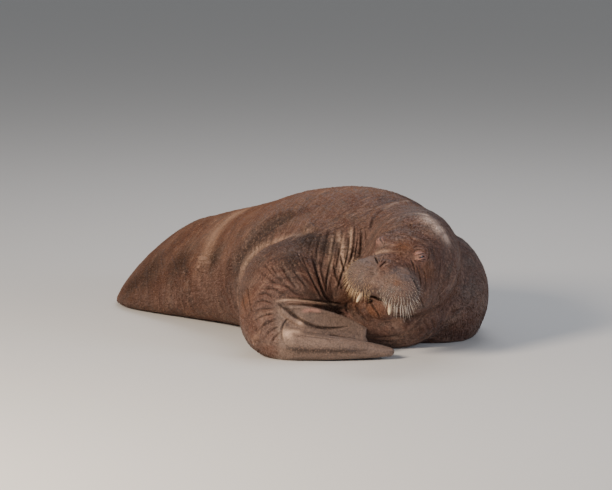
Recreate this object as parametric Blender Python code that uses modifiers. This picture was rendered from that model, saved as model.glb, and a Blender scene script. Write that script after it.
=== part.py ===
"""A young walrus lying asleep, life size, as a still museum model.

The trunk runs back and away from the head, which is turned to the animal's right and rests
over its right fore flipper. Metres, +Z up, the floor at z = 0, and the view of the pose
looks along +Y. The flesh is modelled whole, from lofts and rounded masses that are fused
and smoothed, and is then parted into named nodes with thin cuts. Sizes are given round the
right hand and moved at the end, so that the middle of the underside is the origin.
"""

import math
import random

import bmesh
import bpy
import numpy as np
from mathutils import Matrix, Vector
from mathutils.bvhtree import BVHTree

GAP = 0.0003
BODY_VOXEL = 0.012
SKIN_VOXEL = 0.0075
HAND_VOXEL = 0.004
BODY_ROUNDS = 10
SKIN_ROUNDS = 6
HAND_ROUNDS = 4
SKIN_TRIANGLES = 5600
HAND_TRIANGLES = 480
FLOOR_SINK = 0.014
RING_POINTS = 40
REACH = 3.0  # half the side of a cutter that takes all beyond a plane

# Trunk, from the tail to the neck base: centre x and y, half width, top, height of the
# widest line, lowest point of the underside, and how steep the arch's flanks are.
TRUNK = (
    (-0.330, 1.600, 0.022, 0.060, 0.040, 0.018, 1.0),
    (-0.340, 1.530, 0.050, 0.085, 0.045, 0.005, 1.0),
    (-0.362, 1.420, 0.122, 0.140, 0.035, -0.010, 1.0),
    (-0.392, 1.280, 0.220, 0.222, 0.022, -FLOOR_SINK, 1.35),
    (-0.388, 1.110, 0.316, 0.298, 0.014, -FLOOR_SINK, 1.55),
    (-0.268, 0.930, 0.310, 0.356, 0.055, -FLOOR_SINK, 1.32),
    (-0.098, 0.745, 0.322, 0.420, 0.130, -FLOOR_SINK, 1.0),
    (0.010, 0.610, 0.350, 0.474, 0.170, -FLOOR_SINK, 1.0),
    (0.130, 0.470, 0.362, 0.510, 0.195, -FLOOR_SINK, 1.0),
    (0.240, 0.350, 0.330, 0.508, 0.215, -FLOOR_SINK, 1.0),
    (0.325, 0.260, 0.250, 0.474, 0.240, 0.030, 1.0),
)
# Neck, from inside the chest to the skull: centre, radius and height for width.
NECK = (
    (0.200, 0.420, 0.270, 0.215, 1.0),
    (0.297, 0.320, 0.278, 0.202, 1.02),
    (0.354, 0.210, 0.291, 0.178, 1.07),
    (0.360, 0.120, 0.301, 0.165, 1.08),
    (0.360, 0.055, 0.310, 0.156, 1.06),
    (0.340, 0.000, 0.306, 0.138, 1.0),
)
# Shoulder masses: centre, radii, turn about Z in degrees.
SHOULDERS = (
    ((-0.060, 0.140, 0.185), (0.165, 0.170, 0.185), 20),
    ((0.075, 0.270, 0.250), (0.190, 0.170, 0.200), 40),
    ((0.428, 0.390, 0.150), (0.201, 0.213, 0.226), 30),
    ((0.270, 0.190, 0.120), (0.210, 0.130, 0.135), 0),
    ((0.075, 0.155, 0.235), (0.175, 0.110, 0.130), 0),
)
# The crest of the near shoulder, from the nape down to the upper arm.
CREST = (
    (0.170, 0.270, 0.380, 0.085, 1.0),
    (0.100, 0.225, 0.345, 0.095, 1.0),
    (0.025, 0.185, 0.295, 0.110, 1.0),
    (-0.060, 0.145, 0.235, 0.130, 1.0),
    (-0.095, 0.120, 0.160, 0.145, 1.0),
)
RIGHT_ARM = (
    (-0.070, 0.130, 0.200, 0.150, 1.0),
    (-0.112, 0.060, 0.125, 0.122, 1.0),
    (-0.108, 0.000, 0.084, 0.097, 1.0),
    (-0.075, -0.045, 0.056, 0.069, 1.0),
    (-0.020, -0.072, 0.046, 0.052, 1.0),
)
LEFT_ARM = (
    (0.470, 0.430, 0.170, 0.130, 1.0),
    (0.530, 0.530, 0.095, 0.090, 0.95),
    (0.520, 0.620, 0.048, 0.058, 0.85),
    (0.490, 0.690, 0.030, 0.046, 0.75),
)
RIGHT_LEG = (
    (-0.455, 1.240, 0.085, 0.110, 0.8),
    (-0.452, 1.380, 0.055, 0.074, 0.8),
    (-0.442, 1.500, 0.030, 0.046, 0.75),
)
LEFT_LEG = (
    (-0.290, 1.240, 0.085, 0.110, 0.8),
    (-0.252, 1.380, 0.055, 0.074, 0.8),
    (-0.226, 1.500, 0.030, 0.046, 0.75),
)

# Right hand: for each digit, from the thick leading edge to the trailing edge, the stations
# of its bone line: centre and radius. The palm faces up, curled like a scoop.
RIGHT_HAND = (
    (
        (-0.040, -0.078, 0.050, 0.050),
        (0.080, -0.086, 0.043, 0.042),
        (0.180, -0.082, 0.037, 0.033),
        (0.285, -0.068, 0.026, 0.017),
    ),
    (
        (-0.050, -0.040, 0.036, 0.030),
        (0.080, -0.036, 0.025, 0.020),
        (0.190, -0.032, 0.022, 0.015),
        (0.290, -0.028, 0.020, 0.010),
    ),
    (
        (-0.060, -0.022, 0.040, 0.026),
        (0.070, -0.012, 0.030, 0.018),
        (0.170, -0.004, 0.026, 0.013),
        (0.262, 0.000, 0.022, 0.008),
    ),
    (
        (-0.078, -0.056, 0.160, 0.010),
        (-0.036, -0.060, 0.127, 0.012),
        (0.030, -0.050, 0.098, 0.012),
        (0.110, -0.032, 0.078, 0.010),
        (0.205, -0.012, 0.052, 0.008),
    ),
    (
        (-0.078, -0.054, 0.172, 0.010),
        (-0.030, -0.056, 0.176, 0.010),
        (0.045, -0.046, 0.162, 0.010),
        (0.125, -0.026, 0.134, 0.009),
        (0.205, -0.006, 0.092, 0.007),
    ),
)
RIGHT_HAND_ZONE = ((-0.067, -0.16), (0.40, -0.16), (0.40, 0.074), (-0.119, 0.074))
BELOW_FLOOR, ABOVE_HAND = -0.1, 0.2
HAND_CEILING = 0.115
HAND_REACH = 0.42  # more than a flipper's length from its wrist
RIGHT_HAND_STEP = 0.125  # the body is cut clear of the hand's zone up to here
RIGHT_PALM = (-0.070, -0.015, 0.062, 0.042)
RIGHT_WEB = 0.0055
SCOOP_MIDDLE = (-0.020, 0.120)  # y and z that the palm faces
LEFT_DIGITS = (0.20, 0.225, 0.245, 0.265, 0.275)
HIND_DIGITS = (0.355, 0.310, 0.290, 0.310, 0.355)
FLAT_WEB = 0.0045
FORE_CLAW = (0.011, 0.0028)  # length and radius
HIND_CLAWS = ((0.009, 0.0025), (0.020, 0.0038), (0.022, 0.004), (0.020, 0.0038), (0.009, 0.0025))
CLAW_PROBE = 0.06  # how far above a digit its skin is looked for
CLAW_ROOT = -0.5  # where a claw starts, in its own lengths from the skin's point
CLAW_SIDES = 6
CLAW_CLEAR = 0.03  # a digit of the near hand whose tip lies lower hides its claw under it
DIGIT_POINTS = 20
# Each flat flipper: its wrist's limb, its digits' lengths, the wrist's place and heading, the fan
# (spread in degrees, half width at the root, radius there and at the tips), and its right and left edge.
FLAT_FLIPPERS = (
    ("fore_flipper_left", LEFT_ARM[2:], LEFT_DIGITS, ((0.495, 0.675, 0.026), 124),
     (-13, -0.040, 0.022, 0.009), (-0.10, 0.115)),
    ("hind_flipper_right", RIGHT_LEG[1:], HIND_DIGITS, ((-0.446, 1.475, 0.021), 94),
     (8, 0.034, 0.020, 0.008), (-0.070, 0.10)),
    ("hind_flipper_left", LEFT_LEG[1:], HIND_DIGITS, ((-0.232, 1.475, 0.021), 78),
     (11, 0.034, 0.020, 0.008), (-0.14, 0.065)),
)
# The upright planes that part the body: a point, and the heading of the side that is taken.
PLANES = {
    "fore_arm_right": ((-0.02, 0.12, 0), 233),
    "neck": ((0.36, 0.27, 0), -60),
    "belly": ((0.12, 0.47, 0), 133),
    "hips": ((-0.25, 0.93, 0), 117),
    "tail": ((-0.345, 1.482, 0), 92),
}
LEFT_ARM_PLACE = ((0.44, 0.44, 0), 75)
LEFT_ARM_ZONE = ((0.02, -0.4, -0.1), (0.4, 0.02, 0.21))

# Head frame: the mouth's centre, and the way that the head faces.
MOUTH = Vector((0.243, -0.140, 0.217))
HEAD_HEADING = -118.3
HEAD_DIP = 7.8
HEAD_ROLL = -16.0

# Head masses in the head's own frame: forward, left, up; and their radii.
HEAD_MASSES = (
    ("skull", (-0.185, 0.0, 0.090), (0.165, 0.126, 0.112)),
    ("bridge", (-0.085, 0.0, 0.095), (0.100, 0.080, 0.062)),
    ("nose", (-0.022, 0.0, 0.094), (0.052, 0.058, 0.048)),
    ("middle", (-0.005, 0.0, 0.058), (0.050, 0.075, 0.050)),
    ("jaw", (-0.110, 0.0, -0.018), (0.115, 0.092, 0.062)),
    ("chin", (-0.042, 0.0, -0.042), (0.056, 0.056, 0.042)),
    ("throat", (-0.190, 0.0, -0.010), (0.150, 0.125, 0.085)),
)
# The same for the masses that come in pairs, one each side.
HEAD_PAIRS = (
    ("pad", (-0.010, 0.062, 0.058), (0.063, 0.071, 0.062)),
    ("brow", (-0.135, 0.058, 0.138), (0.060, 0.048, 0.044)),
    ("cheek", (-0.130, 0.074, 0.040), (0.085, 0.062, 0.075)),
    ("fill", (-0.034, 0.050, 0.084), (0.052, 0.052, 0.046)),
)

EYE_RADIUS = 0.0135
EYE_LOOK = Vector((0.42, 0.80, 0.36))  # forward, out, up
EYE_AIM = Vector((-0.124, 0.020, 0.132))
EYE_SEAT = 0.62  # how deep the eyeball's middle lies under the head's form, in its radii
LID = 0.0042
LID_UP = Vector((0.12, 0, 1))
LID_SHAPE = (1.12, 0.92, 1.0)  # the lids' hood across, up and outward, in its radii
SLIT_DROP = 0.0015
HEAD_REACH = 0.3  # from outside the head to any point in it
SLIT = (0.0150, 0.0026)  # half length and half height of the opening between the lids
NOSTRIL_AIM = Vector((-0.030, 0.019, 0.094))
NOSTRIL_LOOK = Vector((0.62, 0.12, 0.78))
NOSTRIL_UP = Vector((-0.6, 0.55, 0.6))  # the way the slit runs
NOSTRIL = (0.0032, 0.0160, 0.0130)  # half width, half length, depth
MOUTH_OPENING = ((0.004, -0.026, 0.001), (0.074, 0.044, 0.0085))
MOUTH_LINE = 0.001
HEAD_ZONE = ((-0.245, -0.172, -0.108), (0.3, 0.3, 0.4))  # in the head's frame: forward, left, up
JAW_ZONE = ((-0.11, -0.3, -0.3), (0.3, 0.3, MOUTH_LINE))
MUZZLE_ZONE = ((-0.066, -0.3, MOUTH_LINE + GAP), (0.3, 0.3, 0.4))
TUSK_ROOT = Vector((0.023, 0.050, 0.033))
TUSK_WAY = Vector((-0.28, 0.0, -1.0))
TUSK_SPREAD = 0.22  # how far the tusks part, sideways for each unit of TUSK_WAY
TUSK_LENGTH = 0.058
TUSK_TAPER = ((0.0, 1.0), (0.5, 0.95), (0.8, 0.75), (1.0, 0.5))  # along the tusk, share of the radius
TUSK_RADIUS = 0.0064
TUSK_SIDES = 10

WHISKER_SEED = 11
WHISKER_ROWS = 8
WHISKER_COLUMNS = 10
WHISKER_LIFT = (-62, 52)  # lowest and highest row, degrees from level
WHISKER_SWING = (-48, 112)  # degrees from forward, inward and outward
WHISKER_RADIUS = 0.0011
WHISKER_TAPER = ((0.0, 1.0), (0.45, 0.8), (0.8, 0.55))  # along the whisker, share of the width
WHISKER_LENGTH = (0.010, 0.028)  # of the upper ones, and how much more the lowest have
WHISKER_LEAN = Vector((0.35, 0.35, 0.0))  # forward and outward, in the head's frame
WHISKER_DROOP = Vector((-0.10, 0.0, -0.30))  # back in the head's frame, and straight down
WHISKER_JITTER = (0.2, 4)  # share of a column, and degrees
WHISKER_SINK = 0.006
WHISKER_CLEAR = 0.003
WHISKER_TESTS = (0.0, 0.2, 0.35, 0.5, 0.65, 0.8, 0.9, 1.0)

SKIN = ("coat", (0.235, 0.112, 0.064), 0.62)
MUZZLE_SKIN = ("muzzle_skin", (0.250, 0.165, 0.120), 0.66)
BARE_SKIN = ("flipper_skin", (0.215, 0.150, 0.115), 0.55)
TUSK_IVORY = ("tusk_ivory", (0.780, 0.660, 0.480), 0.35)
EYEBALL = ("eye", (0.035, 0.018, 0.012), 0.12)


def clear_scene():
    for old in list(bpy.data.objects):
        bpy.data.objects.remove(old)


def new_collection(name):
    made = bpy.data.collections.new(name)
    bpy.context.scene.collection.children.link(made)
    return made


def add_object(name, mesh, collection):
    made = bpy.data.objects.new(name, mesh)
    collection.objects.link(made)
    return made


def from_bmesh(name, bm, collection):
    mesh = bpy.data.meshes.new(name)
    bm.to_mesh(mesh)
    bm.free()
    return add_object(name, mesh, collection)


def through(stations, steps):
    """Points on a smooth curve through the stations, whatever number of values each has."""
    rows = [np.array(s, float) for s in stations]
    rows = [2 * rows[0] - rows[1], *rows, 2 * rows[-1] - rows[-2]]
    made = []
    for a, b, c, d in zip(rows, rows[1:], rows[2:], rows[3:]):
        for k in range(steps):
            t = k / steps
            straight = 2 * b + (c - a) * t
            bend = (2 * a - 5 * b + 4 * c - d) * t * t + (3 * b - 3 * c + d - a) * t**3
            made.append(0.5 * (straight + bend))
    return [*made, rows[-2]]


def skin_rings(name, rings, collection):
    """One closed surface over rings of points, with a fan at each end."""
    bm = bmesh.new()
    loops = [[bm.verts.new(p) for p in ring] for ring in rings]
    for low, high in zip(loops, loops[1:]):
        for i in range(len(low)):
            j = (i + 1) % len(low)
            bm.faces.new((low[i], low[j], high[j], high[i]))
    for loop in (loops[0], loops[-1]):
        middle = bm.verts.new(sum((v.co for v in loop), Vector()) / len(loop))
        for i in range(len(loop)):
            bm.faces.new((loop[i], loop[(i + 1) % len(loop)], middle))
    bmesh.ops.recalc_face_normals(bm, faces=bm.faces)
    return from_bmesh(name, bm, collection)


def trunk_ring(at, along):
    """A lying section: an arch above its widest line, and a flatter, squarer belly below."""
    x, y, half, top, wide, low, steep = at
    side = Vector((along[1], -along[0], 0)).normalized()
    ring = []
    for k in range(RING_POINTS):
        a = 2 * math.pi * k / RING_POINTS
        c, s = math.cos(a), math.sin(a)
        if s >= 0:
            across = math.copysign(abs(c) ** steep, c)
            rise = (top - wide) * s**steep
        else:
            across = math.copysign(abs(c) ** 0.6, c)
            rise = -(wide - low) * abs(s) ** 0.8
        ring.append(Vector((x, y, wide + rise)) + side * float(half * across))
    return ring


def trunk(collection):
    rows = through(TRUNK, 5)
    rings = []
    for k, row in enumerate(rows):
        ahead, behind = rows[min(k + 7, len(rows) - 1)], rows[max(k - 7, 0)]
        rings.append(trunk_ring(row, ahead[:2] - behind[:2]))
    return skin_rings("trunk_form", rings, collection)


def limb(name, stations, collection, steps=5, points=RING_POINTS):
    """A limb of changing radius along a smooth curve, with rounded ends."""
    rows = through([(*s, 1.0)[:5] for s in stations], steps)
    rings = []
    for k, row in enumerate(rows):
        ahead, behind = rows[min(k + 1, len(rows) - 1)], rows[max(k - 1, 0)]
        along = Vector(ahead[:3] - behind[:3]).normalized()
        side = along.cross(Vector((0, 0, 1))).normalized()
        up = side.cross(along) * float(row[4])
        radius = float(row[3])
        ends = [(0.0, 1.0)]
        if k == 0:
            ends = [(-0.8, 0.35), (-0.5, 0.8), (0.0, 1.0)]
        if k == len(rows) - 1:
            ends = [(0.0, 1.0), (0.5, 0.8), (0.8, 0.35)]
        for shift, share in ends:
            middle = Vector(row[:3]) + along * shift * radius
            spots = [2 * math.pi * i / points for i in range(points)]
            rings.append(
                [
                    middle + (side * math.cos(a) + up * math.sin(a)) * radius * share
                    for a in spots
                ]
            )
    return skin_rings(name, rings, collection)


def web(name, one, other, half, collection, steps=4):
    """A sheet between the bone lines of two digits."""
    rings = []
    left = [Vector(r[:3]) for r in through(one, steps)]
    right = [Vector(r[:3]) for r in through(other, steps)]
    for k, (a, b) in enumerate(zip(left, right)):
        ahead, behind = min(k + 1, len(left) - 1), max(k - 1, 0)
        along = (left[ahead] - left[behind]).normalized()
        off = along.cross(b - a).normalized() * half
        rings.append([a + off, b + off, b - off, a - off])
    return skin_rings(name, rings, collection)


def ball(name, centre, radii, collection, frame=None, turn=0, detail=4):
    """A rounded mass: an ellipsoid in the given frame, or turned about Z."""
    bm = bmesh.new()
    bmesh.ops.create_icosphere(bm, subdivisions=detail, radius=1)
    if frame is None:
        frame = Matrix.Translation(centre) @ Matrix.Rotation(math.radians(turn), 4, "Z")
    else:
        frame = frame @ Matrix.Translation(centre)
    bmesh.ops.transform(bm, matrix=frame @ Matrix.Diagonal((*radii, 1)), verts=bm.verts)
    return from_bmesh(name, bm, collection)


def box(name, low, high, frame, collection):
    bm = bmesh.new()
    bmesh.ops.create_cube(bm, size=1)
    low, high = Vector(low), Vector(high)
    place = Matrix.Translation((low + high) / 2) @ Matrix.Diagonal((*(high - low), 1))
    bmesh.ops.transform(bm, matrix=frame @ place, verts=bm.verts)
    return from_bmesh(name, bm, collection)


def head_frame():
    turn = Matrix.Rotation(math.radians(HEAD_HEADING), 4, "Z")
    dip = Matrix.Rotation(math.radians(HEAD_DIP), 4, "Y")
    roll = Matrix.Rotation(math.radians(HEAD_ROLL), 4, "X")
    return Matrix.Translation(MOUTH) @ turn @ dip @ roll


def head_masses(collection):
    frame = head_frame()
    made = [
        ball(name, centre, radii, collection, frame)
        for name, centre, radii in HEAD_MASSES
    ]
    for name, (f, l, u), radii in HEAD_PAIRS:
        for side in (-1, 1):
            made.append(ball(name, (f, side * l, u), radii, collection, frame))
    return made


def apply_modifier(obj, kind, **settings):
    """Adds one modifier and keeps its result as the object's own mesh."""
    modifier = obj.modifiers.new(kind.title(), kind)
    for key, value in settings.items():
        setattr(modifier, key, value)
    graph = bpy.context.evaluated_depsgraph_get()
    made = bpy.data.meshes.new_from_object(obj.evaluated_get(graph))
    obj.modifiers.clear()
    obj.data = made


def boolean(obj, operation, other, solver="MANIFOLD"):
    apply_modifier(obj, "BOOLEAN", operation=operation, object=other, solver=solver)


def fused(name, pieces, voxel, rounds, collection):
    """The outer surface of overlapping pieces as one mesh, with its creases softened."""
    bm = bmesh.new()
    for piece in pieces:
        bm.from_mesh(piece.data)
    for piece in pieces:
        bpy.data.objects.remove(piece)
    made = from_bmesh(name, bm, collection)
    apply_modifier(made, "REMESH", mode="VOXEL", voxel_size=voxel, adaptivity=0)
    apply_modifier(made, "SMOOTH", factor=0.5, iterations=rounds)
    return made


def thinned(obj, triangles):
    """Fewer, larger triangles where the surface is flat."""
    apply_modifier(obj, "TRIANGULATE")
    apply_modifier(obj, "DECIMATE", ratio=triangles / len(obj.data.polygons))
    return obj


def keep_largest(obj):
    bm = bmesh.new()
    bm.from_mesh(obj.data)
    left, groups = set(bm.verts), []
    while left:
        group, edge = set(), [left.pop()]
        while edge:
            at = edge.pop()
            group.add(at)
            for link in at.link_edges:
                near = link.other_vert(at)
                if near in left:
                    left.remove(near)
                    edge.append(near)
        groups.append(group)
    groups.sort(key=len)
    for group in groups[:-1]:
        bmesh.ops.delete(bm, geom=list(group), context="VERTS")
    bm.to_mesh(obj.data)
    bm.free()


def join_all(node, pieces, solver="EXACT"):
    """Fuses many closed pieces with a node by one Boolean on their collection."""
    group = new_collection(node.name + "_pieces")
    for piece in pieces:
        for home in list(piece.users_collection):
            home.objects.unlink(piece)
        group.objects.link(piece)
    apply_modifier(
        node,
        "BOOLEAN",
        operation="UNION",
        operand_type="COLLECTION",
        collection=group,
        solver=solver,
    )
    for piece in pieces:
        bpy.data.objects.remove(piece)
    bpy.data.collections.remove(group)


def copy_of(obj, name, collection):
    return add_object(name, obj.data.copy(), collection)


def prism(name, outline, low, high, collection):
    """An upright cutter over a convex outline, given anticlockwise."""
    rings = [[Vector((x, y, z)) for x, y in outline] for z in (low, high)]
    return skin_rings(name, rings, collection)


def widened(outline, by):
    """A convex outline with each side moved outward."""
    made = []
    for i, at in enumerate(outline):
        before, after = Vector(outline[i - 1]), Vector(outline[(i + 1) % len(outline)])
        at = Vector(at)
        one, other = (at - before).normalized(), (after - at).normalized()
        one, other = Vector((one.y, -one.x)), Vector((other.y, -other.x))
        made.append(tuple(at + (one + other) * (by / (1 + one.dot(other)))))
    return made


def split_off(body, name, frame, low, high, flesh, cutters):
    """Takes what lies inside a box out of the body as a node of its own, with a thin cut."""
    grow = Vector((GAP, GAP, GAP))
    inner = box(name + "_zone", low, high, frame, cutters)
    outer = box(name + "_cut", Vector(low) - grow, Vector(high) + grow, frame, cutters)
    made = copy_of(body, name, flesh)
    boolean(made, "INTERSECT", inner)
    boolean(body, "DIFFERENCE", outer)
    return made


def split_beyond(body, name, flesh, cutters):
    """Takes all that lies beyond the upright plane of this joint between two nodes."""
    low, high = (0, -REACH, -REACH), (REACH, REACH, REACH)
    return split_off(body, name, placed(*PLANES[name]), low, high, flesh, cutters)


def fan(frame, lengths, spread, root_half, radius, tip_radius):
    """The digits of a flat flipper: they fan out from the wrist in their own frame."""
    made = []
    last = len(lengths) - 1
    for i, length in enumerate(lengths):
        across = 1 - 2 * i / last
        angle = math.radians(spread * across)
        root = Vector((0, root_half * across, 0))
        tip = root + Vector((math.cos(angle), math.sin(angle), 0)) * length
        stations = []
        for t in (0.0, 0.35, 0.7, 1.0):
            at = frame @ root.lerp(tip, t)
            stations.append((*at, radius + (tip_radius - radius) * t))
        made.append(tuple(stations))
    return made


def placed(point, heading):
    return Matrix.Translation(point) @ Matrix.Rotation(math.radians(heading), 4, "Z")


def claw(tree, digit, out, size, collection):
    """A nail that lies along the back of a digit, short of its tip."""
    length, radius = size
    rows = through(digit, 8)
    at, ahead = Vector(rows[-5][:3]), Vector(rows[-1][:3])
    along = (ahead - at).normalized()
    skin = tree.ray_cast(at + out * CLAW_PROBE, -out)[0] or at
    tip = skin + along * length + out * radius * 0.9
    start = skin + along * length * CLAW_ROOT - out * radius * 1.2
    middle = start.lerp(tip, 0.55) + out * radius * 0.9
    stations = ((*start, radius), (*middle, radius), (*tip, radius * 0.35))
    return limb("claw", stations, collection, steps=2, points=CLAW_SIDES)


def flipper(name, stub, digits, half_web, collection, extra=()):
    """A flipper: its wrist, its digits and the web between them, as one mesh."""
    pieces = [limb("stub", stub, collection), *extra]
    pieces += [limb("digit", d, collection, points=DIGIT_POINTS) for d in digits]
    pieces += [
        web("web", one, other, half_web, collection)
        for one, other in zip(digits, digits[1:])
    ]
    made = fused(name, pieces, HAND_VOXEL, HAND_ROUNDS, collection)
    return thinned(made, HAND_TRIANGLES)


def level(obj, cutters):
    """Cuts all below the floor away, so that what rests on it ends in a flat."""
    floor = box("floor_cut", (-REACH, -REACH, -1), (REACH, REACH, 0), Matrix(), cutters)
    boolean(obj, "DIFFERENCE", floor)
    bpy.data.objects.remove(floor)


def surface_hit(tree, frame, aim, look, side):
    """The point and the outward way at which a line from inside the head leaves it."""
    aim = frame @ Vector((aim.x, aim.y * side, aim.z))
    look = frame.to_3x3() @ Vector((look.x, look.y * side, look.z)).normalized()
    hit = tree.ray_cast(aim + look * HEAD_REACH, -look)[0]
    return hit, look


def facing(point, look, up):
    """A frame at a point: z along the look, y as near to up as it can be."""
    z = look.normalized()
    x = up.cross(z).normalized()
    y = z.cross(x)
    turn = Matrix((x, y, z)).transposed().to_4x4()
    return Matrix.Translation(point) @ turn


def eye_and_lids(head, tree, name, side, flesh, cutters):
    """Raises the lids, opens a socket behind a narrow slit, and sets the eyeball in it."""
    frame = head_frame()
    hit, look = surface_hit(tree, frame, EYE_AIM, EYE_LOOK, side)
    up = frame.to_3x3() @ LID_UP
    place = facing(hit - look * EYE_RADIUS * EYE_SEAT, look, up)
    lids = EYE_RADIUS + LID
    hood_radii = [lids * share for share in LID_SHAPE]
    hood = ball(name + "_lids", (0, 0, 0), hood_radii, cutters, place, detail=3)
    socket = EYE_RADIUS + GAP
    hole = ball(name + "_socket", (0, 0, 0), (socket,) * 3, cutters, place, detail=3)
    slot = ball(name + "_slit", (0, -SLIT_DROP, lids), (*SLIT, lids), cutters, place, detail=3)
    boolean(head, "UNION", hood)
    boolean(head, "DIFFERENCE", hole)
    boolean(head, "DIFFERENCE", slot)
    return ball(name, (0, 0, 0), (EYE_RADIUS,) * 3, flesh, place, detail=3)


def nostril(muzzle, tree, side, cutters):
    """Presses one slanted slit into the top of the muzzle."""
    frame = head_frame()
    hit, look = surface_hit(tree, frame, NOSTRIL_AIM, NOSTRIL_LOOK, side)
    up = frame.to_3x3() @ Vector((NOSTRIL_UP.x, NOSTRIL_UP.y * side, NOSTRIL_UP.z))
    place = facing(hit, look, up)
    slot = ball("nostril", (0, 0, 0), NOSTRIL, cutters, place, detail=3)
    boolean(muzzle, "DIFFERENCE", slot)


def tusk(name, side, grow, collection):
    """A short first tusk, tapered and turned slightly back, or its socket when grown."""
    frame = head_frame()
    root = frame @ Vector((TUSK_ROOT.x, TUSK_ROOT.y * side, TUSK_ROOT.z))
    down = (TUSK_WAY + frame.to_3x3() @ Vector((0, TUSK_SPREAD * side, 0))).normalized()
    stations = []
    for t, share in TUSK_TAPER:
        at = root + down * TUSK_LENGTH * t
        stations.append((*at, TUSK_RADIUS * share + grow, 1.0))
    return limb(name, stations, collection, steps=2, points=TUSK_SIDES)


def spine(bm, root, way, droop, length, width):
    """A three-sided whisker, tapered and bent, with its root below the skin."""
    side = way.orthogonal().normalized()
    other = way.cross(side)
    rings = []
    for t, share in WHISKER_TAPER:
        at = root + way * length * t + droop * length * t * t
        ring = []
        for k in range(3):
            a = 2 * math.pi * k / 3
            off = (side * math.cos(a) + other * math.sin(a)) * width * share
            ring.append(bm.verts.new(at + off))
        rings.append(ring)
    tip = bm.verts.new(root + way * length + droop * length)
    for low, high in zip(rings, rings[1:]):
        for k in range(3):
            j = (k + 1) % 3
            bm.faces.new((low[k], low[j], high[j], high[k]))
    for k in range(3):
        bm.faces.new((rings[-1][k], rings[-1][(k + 1) % 3], tip))
    bm.faces.new(rings[0][::-1])


def whiskers(muzzle, others, flesh):
    """The stiff bristles of both pads, in staggered rows, clear of all other nodes."""
    draw = random.Random(WHISKER_SEED)
    frame = head_frame()
    turn = frame.to_3x3()
    tree = tree_of(muzzle)
    trees = [tree_of(other) for other in others]
    _, (f, l, u), _ = HEAD_PAIRS[0]
    jitter, tilt = WHISKER_JITTER
    shortest, more = WHISKER_LENGTH
    pieces = []
    for side in (-1, 1):
        centre = frame @ Vector((f, l * side, u))
        for row in range(WHISKER_ROWS):
            lift = WHISKER_LIFT[0] + (WHISKER_LIFT[1] - WHISKER_LIFT[0]) * row / (WHISKER_ROWS - 1)
            ring = math.cos(math.radians(lift))
            count = max(3, round(WHISKER_COLUMNS * ring))
            for k in range(count):
                share = (k + 0.5 * (row % 2) + draw.uniform(-jitter, jitter)) / count
                swing = math.radians(WHISKER_SWING[0] + (WHISKER_SWING[1] - WHISKER_SWING[0]) * share)
                up = math.radians(lift + draw.uniform(-tilt, tilt))
                level_way = Vector((math.cos(swing), math.sin(swing) * side, 0)) * math.cos(up)
                away = turn @ (level_way + Vector((0, 0, math.sin(up))))
                skin, normal, _, _ = tree.ray_cast(centre + away * HEAD_REACH / 2, -away)
                if skin is None:
                    continue
                low = 0.5 - 0.5 * math.sin(up)
                outer = 0.55 + 0.45 * min(share, 1.0)
                length = shortest + more * low * outer * draw.uniform(0.8, 1.2)
                out = turn @ Vector((WHISKER_LEAN.x, WHISKER_LEAN.y * side * share, 0))
                way = (normal * 0.8 + out * 0.5 + Vector((0, 0, -0.35 * low))).normalized()
                bend = (turn @ Vector((WHISKER_DROOP.x, 0, 0)) + Vector((0, 0, WHISKER_DROOP.z))) * low
                root = skin - way * WHISKER_SINK
                length += WHISKER_SINK
                path = [root + way * length * t + bend * length * t * t for t in WHISKER_TESTS]
                if min(near.find_nearest(p)[3] for near in trees for p in path) < WHISKER_CLEAR:
                    continue
                bm = bmesh.new()
                spine(bm, root, way, bend, length, WHISKER_RADIUS * (0.75 + 0.35 * low))
                bmesh.ops.recalc_face_normals(bm, faces=bm.faces)
                pieces.append(from_bmesh("whisker", bm, flesh))
    print("whiskers", len(pieces))
    join_all(muzzle, pieces)


def material(slot):
    name, colour, roughness = slot
    made = bpy.data.materials.get(name)
    if made is None:
        made = bpy.data.materials.new(name)
        made.use_nodes = True
        shader = made.node_tree.nodes["Principled BSDF"]
        shader.inputs["Base Color"].default_value = (*colour, 1)
        shader.inputs["Roughness"].default_value = roughness
        shader.inputs["Metallic"].default_value = 0
    return made


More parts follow.
